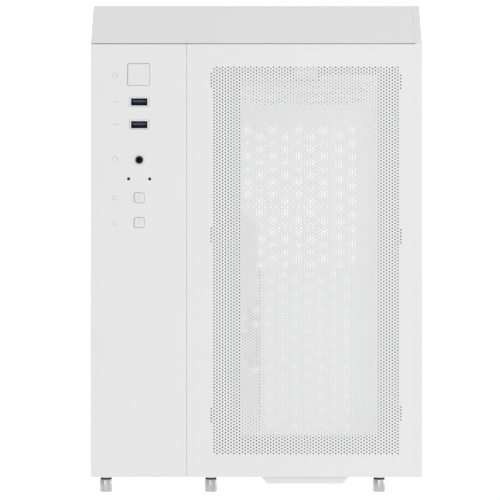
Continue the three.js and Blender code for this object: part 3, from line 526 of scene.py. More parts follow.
def cell(kind, pitch, hole):
    """One cell of a perforated sheet, flat in x and y: 0 plain, 1 with a hole, 2 a plain half."""
    half_width, half_height = pitch * COLUMN / PITCH / 2, pitch / 2
    if kind == 2:
        half_height /= 2
    shape = bmesh.new()
    sides = [(half_width, -half_height), (half_width, 0), (half_width, half_height),
             (-half_width, half_height), (-half_width, 0), (-half_width, -half_height)]
    if kind == 2:
        sides = [sides[0], sides[2], sides[3], sides[5]]
    rim = [shape.verts.new((*side, 0)) for side in sides]
    if kind == 1:
        ring = [shape.verts.new((*point, 0)) for point in circle(0, 0, hole, HOLE_SIDES, 0.5)]
        edges = [shape.edges.new((points[i], points[(i + 1) % len(points)]))
                 for points in (rim, ring) for i in range(len(points))]
        bmesh.ops.triangle_fill(shape, use_beauty=True, edges=edges)
        inside = [f for f in shape.faces if all(v in ring for v in f.verts)]
        bmesh.ops.delete(shape, geom=inside, context="FACES_ONLY")
    else:
        shape.faces.new(rim)
    for face in shape.faces:
        face.normal_update()
        if face.normal.z < 0:
            face.normal_flip()
    return pattern("cell", shape)


PATTERN_NAMES = ("First shape", "Second shape", "Third shape")


def repeat_tree():
    """Geometry nodes: puts one of three shapes on each point, by the point's kind."""
    tree = bpy.data.node_groups.new("shapes_on_points", "GeometryNodeTree")
    face = tree.interface
    face.new_socket("Points", in_out="INPUT", socket_type="NodeSocketGeometry")
    for name in PATTERN_NAMES:
        face.new_socket(name, in_out="INPUT", socket_type="NodeSocketObject")
    face.new_socket("Sheet", in_out="OUTPUT", socket_type="NodeSocketGeometry")
    source = add_node(tree, "NodeGroupInput")
    kind = add_node(tree, "GeometryNodeInputNamedAttribute", {"Name": "kind"}, data_type="INT").outputs[0]
    joined = add_node(tree, "GeometryNodeJoinGeometry")
    for number, name in enumerate(PATTERN_NAMES):
        chosen = add_node(tree, "FunctionNodeCompare", {2: kind, 3: number}, data_type="INT", operation="EQUAL")
        info = add_node(tree, "GeometryNodeObjectInfo", {"Object": source.outputs[name]})
        placed = add_node(tree, "GeometryNodeInstanceOnPoints", {
            "Points": source.outputs["Points"], "Selection": chosen.outputs[0],
            "Instance": info.outputs["Geometry"]})
        tree.links.new(placed.outputs[0], joined.inputs[0])
    real = add_node(tree, "GeometryNodeRealizeInstances", {"Geometry": joined.outputs[0]})
    add_node(tree, "NodeGroupOutput", {0: real.outputs[0]})
    return tree


REPEAT = repeat_tree()
CELLS = {}  # the three cells of each pitch and hole, made once


def repeated(points, kinds, shapes, thickness=0.0):
    """Puts the three shapes on the points with the geometry nodes, and gives the result back as a bmesh."""
    mesh = bpy.data.meshes.new("points")
    mesh.from_pydata([Vector(p) * MM for p in points], [], [])
    mesh.attributes.new("kind", "INT", "POINT").data.foreach_set("value", kinds)
    holder = object_of("points", mesh)
    modifier = holder.modifiers.new("shapes", "NODES")
    modifier.node_group = REPEAT
    for item in REPEAT.interface.items_tree:
        if item.name in PATTERN_NAMES:
            modifier[item.identifier] = shapes[PATTERN_NAMES.index(item.name)]
    if thickness:
        weld = holder.modifiers.new("weld", "WELD")
        weld.merge_threshold = 0.02 * MM
        thick = holder.modifiers.new("thickness", "SOLIDIFY")
        thick.thickness = thickness * MM
        thick.offset = -1
    made = bpy.data.meshes.new_from_object(holder.evaluated_get(bpy.context.evaluated_depsgraph_get()))
    bpy.data.objects.remove(holder)
    shape = bmesh.new()
    shape.from_mesh(made)
    bpy.data.meshes.remove(made)
    shape.transform(Matrix.Diagonal((1 / MM, 1 / MM, 1 / MM, 1)))
    return shape


def zone(u0, v0, columns, rows, pitch=PITCH):
    """The opening that a perforated sheet of columns by rows cells fills, its lowest corner at u0, v0."""
    return rectangle(u0, u0 + columns * pitch * COLUMN / PITCH, v0, v0 + rows * pitch)


def perforated(plane, vent, start, end, corner=0.0, pitch=PITCH, hole=HOLE, blocked=(), span=None):
    """A perforated sheet, as a bmesh in millimetres: vent is what zone takes, span the columns that are made."""
    u0, v0, columns, rows = vent
    column = pitch * COLUMN / PITCH
    width, height = columns * column, rows * pitch
    points, kinds = [], []
    for c in range(*(span or (0, columns))):
        u = (c + 0.5) * column
        shift = c % 2
        for r in range(rows - shift):
            v = (r + 0.5 + shift / 2) * pitch
            du = max(corner - u, u - (width - corner), 0)
            dv = max(corner - v, v - (height - corner), 0)
            pierced = math.hypot(du, dv) <= corner - hole / 2 or corner == 0
            if any(b0 <= u0 + u <= b1 and b2 <= v0 + v <= b3 for b0, b1, b2, b3 in blocked):
                pierced = False
            points.append((u, v, 0))
            kinds.append(int(pierced))
        if shift:
            points += [(u, pitch / 4, 0), (u, height - pitch / 4, 0)]
            kinds += [2, 2]
    if (pitch, hole) not in CELLS:
        CELLS[pitch, hole] = [cell(kind, pitch, hole) for kind in range(3)]
    shape = repeated(points, kinds, CELLS[pitch, hole], end - start)
    level = end if sum(across(plane)) > 0 else start
    shape.transform(onto(plane, level, u0, v0))
    return shape


add_camera()
add_floor()
add_surround()
add_lights()

# ---- sizes that several pieces share -----------------------------------------------------------------------------
SHEET = 1.2
RETURN = 12.0  # depth of a front panel's folded edges
CORNER = 0.8  # rounding of the panels' corners
SEAM_CLOSE = 0.22  # how far each front panel reaches into the seam between them
SIDE_CLOSE = 0.38  # how far front panels and hood reach towards the side panels
MESH_COLUMNS, MESH_ROWS = 68, 121
MESH_CENTRE = (40.1, 190.55)
CLIP, CLIP_SIZE = (40.1, 342.1), (16.0, 4.2)  # oval snap clip behind the mesh: centre and size
CLIP_SLOT, CLIP_BORDER = (10.0, 338.2, 348.4), 2.0  # half width, low and high edge of its slot, and the metal round it
NOTCHES, NOTCH_HALF = (66.0, 210.5, 336.0), 6.8  # heights where the outermost holes are open, and half their span
STUDS = [(x, z) for x in (-47, 122) for z in (45, 336)]
FRAME_WINDOW = (-12.5, 99.0, 47.6, 341.5)
SIDE_SLOTS = [(x, z) for x in (-37.4, 117.4) for z in NOTCHES]

BUTTONS = {  # side of the cap, corner of its opening and of the cap itself
    "power_button": (17.6, 1.2, 1.0), "reset_button": (7.9, 1.5, 1.4), "light_button": (7.9, 1.5, 1.4),
}
BUTTON_GAP = 0.22
USB_PORTS = ("usb_port_1", "usb_port_2")
BEZEL_SIZE, BEZEL_CORNER, BEZEL_GAP = (16.0, 7.6), 1.6, 0.12
JACK_BEZEL = 4.2
LAMPS = ("power_light", "drive_light")
SLOT_COVERS = [f"slot_cover_{i}" for i in range(1, 8)]
THUMBSCREWS = ("thumbscrew_1", "thumbscrew_2")
# Rear connector stacks: middle height, width, and how far each stands off the board
PORT_STACKS = [(168, 16, 20), (147, 15, 16.5), (127, 15, 16.5), (105, 17, 28), (83, 15, 16.5), (58, 13, 37)]
PORT_GAP = 0.35


def spot(node):
    """Where a node's middle is seen from the front."""
    centre = middle(node)
    return centre.x, centre.z


# ---- front mesh panel --------------------------------------------------------------------------------------------
def folded_returns(low, high):
    """The four edges of a front panel, folded back from its face."""
    y0, y1 = low.y + 0.25, low.y + RETURN
    return [
        block((low.x, y0, low.z), (low.x + SHEET, y1, high.z)),
        block((high.x - SHEET, y0, low.z), (high.x, y1, high.z)),
        block((low.x, y0, low.z), (high.x, y1, low.z + SHEET)),
        block((low.x, y0, high.z - SHEET), (high.x, y1, high.z)),
    ]


def front_mesh_panel():
    low, high = box("front_mesh_panel")
    low.x -= SEAM_CLOSE
    high.x += SIDE_CLOSE
    width, height = MESH_COLUMNS * COLUMN, MESH_ROWS * PITCH
    u0, v0 = MESH_CENTRE[0] - width / 2, MESH_CENTRE[1] - height / 2
    vent = (u0, v0, MESH_COLUMNS, MESH_ROWS)
    surround = plate("front", [face_of(low, high, "front", CORNER), zone(*vent)], low.y, low.y + SHEET, bevel=0.0)
    studs = [lathe([(0, 0), (2.2, 0), (2.2, 10), (1.4, 12.6), (0, 12.6)], "y", (x, low.y + 1, z), 16)
             for x, z in STUDS]
    oval = rounded(*CLIP, *CLIP_SIZE, CLIP_SIZE[1] / 2 - 0.1)
    studs.append(plate("front", [oval], low.y + 0.85, low.y + 13, bevel=0.3))
    add_piece("front_panel_sheet", "front_mesh", "white_steel",
              {"powder_coat": [surround, *folded_returns(low, high), *studs]}, "front_mesh_panel")
    blocked = []
    for edge in (u0, u0 + width):
        start = v0
        for z in (*NOTCHES, high.z + NOTCH_HALF):
            blocked.append((edge - COLUMN, edge + COLUMN, start, z - NOTCH_HALF))
            start = z + NOTCH_HALF
    half = MESH_COLUMNS // 2
    for number, first in enumerate((0, half), 1):
        sheet = perforated("front", vent, low.y, low.y + 0.8, corner=5.5, blocked=blocked, span=(first, first + half))
        add_piece(f"front_mesh_{number}", "front_mesh", "white_steel", {"powder_coat": [sheet]})


front_mesh_panel()


# ---- solid front panel with the connectors -----------------------------------------------------------------------
def front_io_panel():
    low, high = box("front_io_panel")
    low.x -= SIDE_CLOSE
    high.x += SEAM_CLOSE
    corner = low.copy()
    corner.x = cad_box[0][0] / MM  # the sheet reaches over the front edge of the left side panel
    loops = [face_of(corner, high, "front", CORNER)]
    for node, (cap, rounding, _) in BUTTONS.items():
        loops.append(rounded(*spot(node), cap + 2 * BUTTON_GAP, cap + 2 * BUTTON_GAP, rounding))
    for node in USB_PORTS:
        loops.append(rounded(*spot(node), *(side + 2 * BEZEL_GAP for side in BEZEL_SIZE), BEZEL_CORNER))
    loops.append(circle(*spot("audio_jack"), JACK_BEZEL + BEZEL_GAP, 36))
    loops += [circle(*spot(node), 1.25, 20) for node in LAMPS]
    face = plate("front", loops, low.y, low.y + SHEET, bevel=0.25)
    board_low, board_high = box("io_board")
    length = board_low.y - low.y + 1
    posts = [lathe([(0, 0), (2, 0), (2, length), (0, length)], "y", (x, low.y + 1, z), 12)
             for x in (board_low.x + 4, board_high.x - 4) for z in (board_low.z + 3, board_high.z - 50)]
    add_piece("io_panel_sheet", "chassis", "white_steel",
              {"powder_coat": [face, *folded_returns(low, high), *posts]}, "front_io_panel")


def front_button(node, cap, corner):
    """A cap with rounded edges, its collar and stem, and down the middle of the small ones a grey strip that paints
    the shade of a shallow groove.
    """
    low, high = box(node)
    x, z = spot(node)
    collar = low.y + 2.1
    shapes = [
        plate("front", [rounded(x, z, cap, cap, corner)], low.y + 0.03, collar + 0.3, bevel=0.6),
        block((low.x, collar, low.z), (high.x, collar + 1.4, high.z)),
        block((x - cap / 4, collar + 1, z - cap / 4), (x + cap / 4, high.y, z + cap / 4)),
    ]
    lines = []
    if node != "power_button":
        # the groove is not cut: its shade is painted as a grey strip
        lines.append(block((x - 0.16, low.y, z - 2.3), (x + 0.16, low.y + 0.3, z + 2.3), 0.02))
    add_piece(f"{node}_cap", node, "white_plastic", {"white_plastic": shapes, "grey_ink": lines}, node)


def usb_socket(node):
    """A white bezel flush with the panel, a steel shell and back painted dark navy as the shade inside the port, a
    blue tongue in its upper half and four contacts.
    """
    low, high = box(node)
    x, z = spot(node)
    width, height = high.x - low.x + 0.1, high.z - low.z + 0.1
    bezel = plate("front", [rounded(x, z, *BEZEL_SIZE, BEZEL_CORNER), rounded(x, z, width, height, 0.5)],
                  FRONT + 0.02, FRONT + 3, bevel=0.2)
    shell = plate("front", [rounded(x, z, width, height, 0.5), rounded(x, z, width - 0.5, height - 0.5, 0.3)],
                  low.y + 0.1, high.y, bevel=0.08)
    back = block((low.x, low.y + 10.8, low.z), (high.x, high.y - 0.1, high.z), 0.1)
    z += 0.9
    tongue = block((low.x + 0.9, low.y + 1.2, z - 0.95), (high.x - 0.9, low.y + 12, z + 0.95), 0.3)
    contacts = [block((u - 0.4, low.y + 2, z - 1.1), (u + 0.4, low.y + 10, z - 0.85), 0.05)
                for u in (x - 3.5, x - 1, x + 1, x + 3.5)]
    add_piece(f"{node}_socket", "chassis", "bright_steel", {
        "white_plastic": [bezel], "port_shade_navy": [shell, back], "tongue_blue": [tongue], "gold": contacts}, node)


def audio_socket():
    low, high = box("audio_jack")
    x, z = spot("audio_jack")
    radius, bore = 3.2, circle(x, z, 1.8, 28)
    bezel = plate("front", [circle(x, z, JACK_BEZEL, 36), circle(x, z, radius + 0.05, 32)], FRONT + 0.02, FRONT + 3,
                  bevel=0.2)
    barrel = plate("front", [circle(x, z, radius, 32), bore], low.y + 0.2, low.y + 12, bevel=0.4)
    body = plate("front", [rounded(x, z, 8, 8, 0.6), bore], low.y + 3.5, high.y - 3, bevel=0.2)
    back = block((x - 4, high.y - 3.2, z - 4), (x + 4, high.y, z + 4))
    add_piece("audio_socket", "chassis", "black_plastic",
              {"white_plastic": [bezel], "black_plastic": [barrel, body, back]}, "audio_jack")


def light_pipe(node):
    low, high = box(node)
    length = high.y - low.y
    profile = [(0, 0.35), (0.45, 0.2), (0.95, 0.5), (0.95, length), (0, length)]
    x, z = spot(node)
    add_piece(f"{node}_pipe", "chassis", "grey_plastic", {"black_plastic": [lathe(profile, "y", (x, low.y, z), 20)]},
              node)


def stroke(points, width, depth_y):
    """A printed line: thin raised strips along the points, on the front face."""
    strips = []
    for (x0, z0), (x1, z1) in zip(points, points[1:]):
        length = math.hypot(x1 - x0, z1 - z0)
        strip = block((-width / 2, -0.02, -width / 2), (length + width / 2, 0.02, width / 2), 0.0)
        strip.transform(Matrix.Translation((x0, depth_y, z0)) @ Matrix.Rotation(-math.atan2(z1 - z0, x1 - x0), 4, "Y"))
        strips.append(strip)
    return strips


def arc(cx, cz, radius, start, end, steps=12):
    angles = [math.radians(start + (end - start) * i / steps) for i in range(steps + 1)]
    return [(cx + radius * math.cos(a), cz + radius * math.sin(a)) for a in angles]


def printed_marks():
    """Plain grey marks left of each control: a power sign, dashes, a ring for sound."""
    x = middle("usb_port_1").x - 19.6
    power = middle("power_button").z - 0.4
    lines = [arc(x, power, 2.0, -240, 60), [(x, power + 0.6), (x, power + 2.6)]]
    for node in USB_PORTS:
        z = middle(node).z
        lines += [[(x - 3.2, z), (x + 3.2, z)], [(x + 1.2, z), (x + 2.2, z + 1.0)]]
    sound = middle("audio_jack").z + 0.4
    lines.append(arc(x, sound, 2.2, 0, 180))
    lines += [[(u, sound), (u, sound - 1.6)] for u in (x - 2.2, x + 2.2)]
    for node, radius in (("reset_button", 1.8), ("light_button", 1.6)):
        lines.append(arc(x, middle(node).z, radius, 40, 330))
    lamp = middle("power_light").z
    lines.append([(x + 1.6, lamp), (x + 3.4, lamp)])
    drive = middle("drive_light").x
    lines.append([(drive + 7.4, lamp - 1.2), (drive + 9.6, lamp - 1.2)])
    strips = [strip for points in lines for strip in stroke(points, 0.3, FRONT - 0.012)]
    add_piece("printed_marks", "chassis", "grey_plastic", {"grey_ink": strips})


front_io_panel()
for button, (side, _, cap_corner) in BUTTONS.items():
    front_button(button, side, cap_corner)
for port in USB_PORTS:
    usb_socket(port)
audio_socket()
for light in LAMPS:
    light_pipe(light)
printed_marks()


# ---- hood --------------------------------------------------------------------------------------------------------
def slab(corners, inward, bevel):
    """A flat plate from four corners, thickened by the vector inward, its edges rounded."""
    shape = bmesh.new()
    outer = [shape.verts.new(c) for c in corners]
    inner = [shape.verts.new(Vector(c) + Vector(inward)) for c in corners]
    shape.faces.new(outer)
    shape.faces.new(list(reversed(inner)))
    for i in range(4):
        j = (i + 1) % 4
        shape.faces.new([outer[j], outer[i], inner[i], inner[j]])
    bmesh.ops.recalc_face_normals(shape, faces=shape.faces)
    axes = [face.normal.copy() for face in shape.faces]
    bmesh.ops.bevel(shape, geom=shape.edges, offset=bevel, segments=2, profile=0.5, affect="EDGES",
                    clamp_overlap=True)
    keep_flat(shape, axes)
    return shape


def top_hood():
    low, high = box("top_hood")
    low.x = cad_box[0][0] / MM
    high.x += SIDE_CLOSE
    y_top = low.y + 33.0  # where the slope meets the flat top
    columns, rows = 44, 62
    vent = ((low.x + high.x) / 2 - columns * COARSE["pitch"] * COLUMN / PITCH / 2, y_top + 14, columns, rows)
    roof = plate("floor", [rectangle(low.x, high.x, y_top, high.y), zone(*vent, COARSE["pitch"])],
                 high.z - SHEET, high.z, bevel=0.0)
    holes = perforated("floor", vent, high.z - 1.0, high.z, corner=9.0, **COARSE)
    bottom = low.z + 0.35
    nose_bottom = box("front_io_panel")[1].z + 0.5
    front = slab([(low.x, low.y, nose_bottom), (high.x, low.y, nose_bottom), (high.x, y_top, high.z),
                  (low.x, y_top, high.z)], (0, 1.7, 0), 0.25)
    outline = [(low.y + 0.3, nose_bottom), (low.y + RETURN, nose_bottom), (low.y + RETURN, bottom),
               (high.y, bottom), (high.y, high.z - 0.1), (y_top, high.z - 0.1)]
    sides = [plate("side", [outline], x, x + SHEET, bevel=0.2) for x in (low.x, high.x - SHEET)]
    rear = block((low.x + 0.2, high.y - SHEET, bottom), (high.x - 0.2, high.y, high.z - 0.05))
    lip = block((low.x + 0.2, low.y + RETURN - SHEET, nose_bottom + 0.1),
                (high.x - 0.2, low.y + RETURN, nose_bottom + 8))
    add_piece("hood_sheet", "hood", "white_steel", {"powder_coat": [roof, holes, front, *sides, rear, lip]},
              "top_hood")


top_hood()


# ---- feet, filter and thumbscrews --------------------------------------------------------------------------------
def knurl(shape, centre, plane, beyond, cut, columns):
    """Draws in every other column of a turned shape, beyond a radius, by a share of that radius."""
    first, second = ("xyz".index(axis) for axis in PLANES[plane])
    for vert in shape.verts:
        offset = Vector((vert.co[first] - centre[first], vert.co[second] - centre[second]))
        if offset.length > beyond:
            number = round(math.atan2(offset.y, offset.x) / (2 * math.pi) * columns)
            offset *= 1 - cut * (number % 2)
            vert.co[first], vert.co[second] = centre[first] + offset.x, centre[second] + offset.y


def foot(node):
    """A knurled steel foot, a black washer above it and the white spacer it is screwed to."""
    centre, top = middle(node), box(node)[1].z
    at = (centre.x, centre.y, 0)
    radius, metal, washer_radius = 4.85, 10.1, 4.6
    under = metal + 1.5  # where the washer ends
    body = lathe([(0, 0.0), (4.3, 0.0), (radius - 0.1, 0.4), (radius, 0.8), (radius, metal - 0.7),
                  (radius - 0.1, metal - 0.3), (4.4, metal), (0, metal)], "z", at, 56)
    knurl(body, centre, "floor", radius - 0.2, 0.07, 56)
    edge = washer_radius - 0.3
    washer = lathe([(0, metal - 0.1), (edge, metal - 0.1), (washer_radius, metal + 0.2),
                    (washer_radius, under - 0.2), (edge, under), (0, under)], "z", at)
    spacer = lathe([(0, under - 0.1), (4.2, under - 0.1), (4.45, under + 0.2), (4.45, top), (0, top)], "z", at)
    add_piece(f"{node}_turned", "chassis", "bright_steel",
              {"steel": [body], "rubber": [washer], "powder_coat": [spacer]}, node)


def bottom_filter():
    """A net in a frame, a tongue forward from it, and the pull tab at the tongue's end."""
    low, high = box("bottom_filter")
    side, sheet = 7.0, 1.4
    y0 = low.y + 32.0  # where the tongue ends and the frame starts
    z_low = high.z - 2.6
    rim = plate("floor", [face_of(Vector((low.x, y0, 0)), high, "floor", 2.0),
                          rectangle(low.x + side, high.x - side, y0 + side, high.y - side)],
                z_low, high.z, bevel=0.4)
    lap = side - 0.3
    net = block((low.x + lap, y0 + lap, z_low + 0.4), (high.x - lap, high.y - lap, z_low + 0.9), 0.05)
    tab_x0, tab_x1, slant = 4.2, 74.4, 4.6
    tongue = block((tab_x0 + slant, low.y + 0.4, high.z - sheet), (tab_x1 - slant, y0 + 1, high.z))
    tab = plate("front", [[(tab_x0, high.z), (tab_x0 + slant, low.z), (tab_x1 - slant, low.z), (tab_x1, high.z)]],
                low.y, low.y + sheet, bevel=0.35)
    add_piece("filter_frame", "dust_filter", "white_plastic", {"white_plastic": [rim, tab, tongue], "net": [net]},
              "bottom_filter")


def thumbscrew(node):
    centre = middle(node)
    profile = [(0, 0), (1.5, 0), (1.8, 0.4), (1.8, 7.5), (4, 7.5), (4, 8.4), (4.9, 8.6), (5.2, 8.9), (5.2, 11.9),
               (4.8, 12.4), (2.4, 12.6), (2.2, 12.0), (0, 12.0)]
    head = lathe(profile, "y", (centre.x, box(node)[0].y, centre.z), 40)
    knurl(head, centre, "rear", 5.0, 0.05, 40)
    add_piece(f"{node}_knurled", "left_panel", "white_steel", {"powder_coat": [head]}, node)


for row in ("front", "rear"):
    for place in ("left", "middle", "right"):
        foot(f"foot_{row}_{place}")
bottom_filter()
for screw in THUMBSCREWS:
    thumbscrew(screw)


# ---- rear wall, slot covers, shield and left panel ---------------------------------------------------------------
def screw_holes():
    return [circle(*spot(node), 2.2, 20) for node in THUMBSCREWS]


def screw_head(centre, axis, radius=2.6, height=1.8):
    """A domed screw head with a cross recess suggested by a sunk middle."""
    profile = [(0, 0), (radius, 0), (radius, height * 0.4), (radius * 0.8, height * 0.85), (radius * 0.45, height),
               (radius * 0.35, height * 0.5), (0, height * 0.45)]
    return lathe(profile, axis, centre, 20)


def rear_wall():
    low, high = box("rear_wall")
    start, end = low.y, low.y + SHEET
    cover_low, cover_high = box("slot_cover_1")
    top_z = box(SLOT_COVERS[-1])[1].z
    loops = [rectangle(low.x, high.x, low.z, high.z),
             face_of(*box("io_shield"), "rear", 1.0, 0.6, 0.6),
             face_of(*box("supply_case"), "rear", 2.0, -8, -6),
             rectangle(cover_low.x + 3.0, cover_high.x - 4.4, cover_low.z + 1, top_z - 1)]
    for tab_low, tab_high in map(box, SLOT_COVERS):
        loops.append(rectangle(tab_high.x - 0.95, tab_high.x + 0.05, tab_low.z + 0.9, tab_high.z - 0.9))
    vents = [(9.5, 18.4, 39, 61), (79.2, 181.2, 9, 54)]
    loops += screw_holes() + [zone(*vent) for vent in vents]
    # the rear wall and its sheets take the lighter copy of the white coat, as painted light
    sheets = [plate("rear", loops, start, end, bevel=0.0)]
    sheets += [perforated("rear", vent, start + 0.1, end, corner=3.0, hole=REAR_HOLE) for vent in vents]
    sheets.append(block((cover_high.x - 2.5, end - 0.4, cover_low.z), (cover_high.x - 1.5, high.y, top_z)))
    heads = [screw_head((cover_high.x + 1.5, end + 4.2, middle(node).z), "x") for node in SLOT_COVERS]
    add_piece("rear_sheet", "chassis", "white_steel", {"painted_light_coat": sheets, "steel": heads}, "rear_wall")


def slot_cover(node):
    low, high = box(node)
    columns, rows = 47, 7
    vent = (low.x + 6, (low.z + high.z) / 2 - rows * PITCH / 2, columns, rows)
    tab = high.x - 0.9
    end = low.y + 0.9
    face = plate("rear", [rectangle(low.x, tab, low.z, high.z), zone(*vent)], low.y, end, bevel=0.0)
    holes = perforated("rear", vent, low.y + 0.1, end, hole=REAR_HOLE)
    fold = block((tab - 0.1, low.y, low.z + 1), (high.x, high.y, high.z - 1), 0.25)
    add_piece(f"{node}_sheet", "chassis", "white_steel", {"painted_light_coat": [face, holes, fold]}, node)


def io_shield():
    low, high = box("io_shield")
    board = box("rear_ports")[0].x
    loops = [face_of(low, high, "rear", CORNER)]
    for z, width, height in PORT_STACKS:
        half = width / 2 + PORT_GAP
        loops.append(rectangle(board - PORT_GAP, board + height + PORT_GAP, z - half, z + half))
    vents = [(-11.4, 21.4, 7, 11), (-11.4, 67.4, 7, 10), (-11.4, 117.2, 7, 23)]
    loops += [zone(*vent) for vent in vents]
    sheets = [plate("rear", loops, low.y, high.y, bevel=0.0)]
    sheets += [perforated("rear", vent, low.y + 0.1, high.y, hole=REAR_HOLE) for vent in vents]
    add_piece("shield_sheet", "chassis", "bright_steel", {"shell_steel": sheets}, "io_shield")


def left_side_panel():
    low, high = box("left_side_panel")
    low.y += 0.1
    sheet = 1.1
    vent = (66.0, 27.0, 26, 26)
    sheets = [
        plate("side", [face_of(low, high, "side", CORNER), zone(*vent, COARSE["pitch"])], low.x, low.x + sheet,
              bevel=0.0),
        perforated("side", vent, low.x, low.x + sheet - 0.1, corner=9.0, **COARSE),
        plate("rear", [rectangle(low.x + 0.1, high.x, low.z, high.z), *screw_holes()], high.y - sheet, high.y - 0.05,
              bevel=0.2),
    ]
    add_piece("left_panel_sheet", "left_panel", "white_steel", {"powder_coat": sheets}, "left_side_panel")


rear_wall()
for cover in SLOT_COVERS:
    slot_cover(cover)
io_shield()
left_side_panel()


# ---- fans --------------------------------------------------------------------------------------------------------
BLADES = 9


def blade(radius, hub, depth, start_angle):
    """One swept, twisted blade round the z axis, between z = 0 and depth."""
    sweep, steep, flat, sheet = 0.55, 50, 26, 1.3  # pitch in degrees at the root and at the tip
    shape = bmesh.new()
    along, across_blade = 8, 5
    layers = []
    for side in (-0.5, 0.5):
        grid = []
        for i in range(along + 1):
            t = i / along
            r = hub - 1.0 + t * (radius - hub + 1.0)
            pitch = math.radians(steep + t * (flat - steep))
            chord = min((depth - sheet - 0.6) / math.sin(pitch), 0.62 * r + 8)
            line = []
            for j in range(across_blade + 1):
                s = j / across_blade - 0.5
                camber = 0.08 * chord * (1 - (2 * s) ** 2)
                tangent = s * chord * math.cos(pitch) - camber * math.sin(pitch)
                rise = s * chord * math.sin(pitch) + camber * math.cos(pitch) * 0.5
                angle = start_angle + sweep * t * t + tangent / r
                thickness = side * sheet * (1 - 0.7 * abs(2 * s) ** 2)
                height = min(max(depth / 2 + rise + thickness, 0.05), depth - 0.05)
                line.append(shape.verts.new((r * math.cos(angle), r * math.sin(angle), height)))
            grid.append(line)
        layers.append(grid)
    lower, upper = layers
    for i in range(along):
        for j in range(across_blade):
            shape.faces.new([upper[i][j], upper[i + 1][j], upper[i + 1][j + 1], upper[i][j + 1]])
            shape.faces.new([lower[i][j + 1], lower[i + 1][j + 1], lower[i + 1][j], lower[i][j]])
    rims = [([(i, 0) for i in range(along + 1)], False), ([(i, across_blade) for i in range(along + 1)], True),
            ([(0, j) for j in range(across_blade + 1)], True), ([(along, j) for j in range(across_blade + 1)], False)]
    for path, flip in rims:
        for (a, b), (c, d) in zip(path, path[1:]):
            corners = [lower[a][b], lower[c][d], upper[c][d], upper[a][b]]
            shape.faces.new(list(reversed(corners)) if flip else corners)
    bmesh.ops.recalc_face_normals(shape, faces=shape.faces)
    return shape


def fan_place(low, high, axis):
    """Takes shapes made up from z = 0 into a fan's box, and gives the fan's depth as well."""
    number = "xyz".index(axis)
    start = (low + high) / 2
    start[number] = low[number]
    return Matrix.Translation(start) @ turn_to(axis), (high - low)[number]


def fan_wheel(node, body, axis, hub):
    low, high = box(node)
    place, depth = fan_place(low, high, axis)
    radius = max((high - low)[k] for k in range(3) if "xyz"[k] != axis) / 2 - 0.1
    dome = [(0, 0.1), (hub - 1.2, 0.1), (hub, 1.0), (hub, depth - 1.4), (hub - 1.4, depth - 0.2),
            (hub * 0.45, depth - 0.05), (hub * 0.42, depth - 0.4), (0, depth - 0.4)]
    shapes = [lathe(dome, "z", (0, 0, 0), 40)]
    shapes += [blade(radius, hub, depth, 2 * math.pi * i / BLADES) for i in range(BLADES)]
    for shape in shapes:
        shape.transform(place)
    add_piece(f"{node}_wheel", body, "white_plastic", {"white_plastic": shapes}, node, smooth_angle=50)


def fan_housing(node, axis, bore, hub):
    """Square housing: two flanges with rounded corners, a round barrel, four struts and the motor plate."""
    low, high = box(node)
    place, depth = fan_place(low, high, axis)
    size = max(high - low)
    corner = size / 2 - size * 0.0625
    screws = [circle(su * corner, sv * corner, 2.1, 16) for su in (1, -1) for sv in (1, -1)]
    loops = [rounded(0, 0, size, size, 4.0), circle(0, 0, bore, 64), *screws]
    flange = min(3.2, depth * 0.3)
    shapes = [
        plate("floor", loops, 0, flange, bevel=0.4),
        plate("floor", loops, depth - flange, depth, bevel=0.4),
        plate("floor", [circle(0, 0, bore + 1.7, 64), circle(0, 0, bore, 64)], flange * 0.5, depth - flange * 0.5,
              bevel=0.1),
        lathe([(0, 0.1), (hub - 0.6, 0.1), (hub, 0.6), (hub, 2.9), (0, 2.9)], "z", (0, 0, 0), 40),
    ]
    for i in range(4):
        strut = block((hub - 1, -1.6, 0.3), (bore + 1, 1.6, 2.8), 0.5)
        strut.transform(Matrix.Rotation(math.pi / 4 * (2 * i + 0.6), 4, "Z"))
        shapes.append(strut)
    for shape in shapes:
        shape.transform(place)
    add_piece(f"{node}_housing", "chassis", "white_plastic", {"white_plastic": shapes}, node)


for number in (1, 2):
    fan_wheel(f"top_fan_rotor_{number}", f"top_fan_{number}", "z", 20)
fan_wheel("cpu_fan_rotor", "cpu_fan", "x", 17)
fan_wheel("supply_fan_rotor", "supply_fan", "x", 19)
for number in (1, 2):
    fan_housing(f"top_fan_frame_{number}", "z", 57.5, 20)
fan_housing("cpu_fan_frame", "x", 44, 17)


# ---- motherboard parts -------------------------------------------------------------------------------------------
BOARD_LOW, BOARD_HIGH = box("motherboard")
FACE = BOARD_HIGH.x + 0.3  # where parts on the board start
FIRST_SLOT_Z = middle("slot_cover_2").z
SLOT_PITCH = FIRST_SLOT_Z - middle("slot_cover_1").z
GRID = 4.5  # small parts stand on a grid of this pitch
DRAWS = 500
SCATTER_SEED = 11


def taken_boxes():
    """Rectangles of the board, in y and z, that larger parts stand on."""
    names = ["cpu_heatsink", "memory_module_1", "memory_module_2", "vrm_heatsink", "expansion_slot", "power_header",
             "rear_ports"]
    boxes = [(low.y, high.y, low.z, high.z) for low, high in map(box, names)]
    for index in range(3):
        z = FIRST_SLOT_Z + 2 * index * SLOT_PITCH
        boxes += [(-20, 150, z - 6, z + 6), (30, 145, z + 6, z + 34)]
    return [*boxes, (-45, 18, 225, 300)]


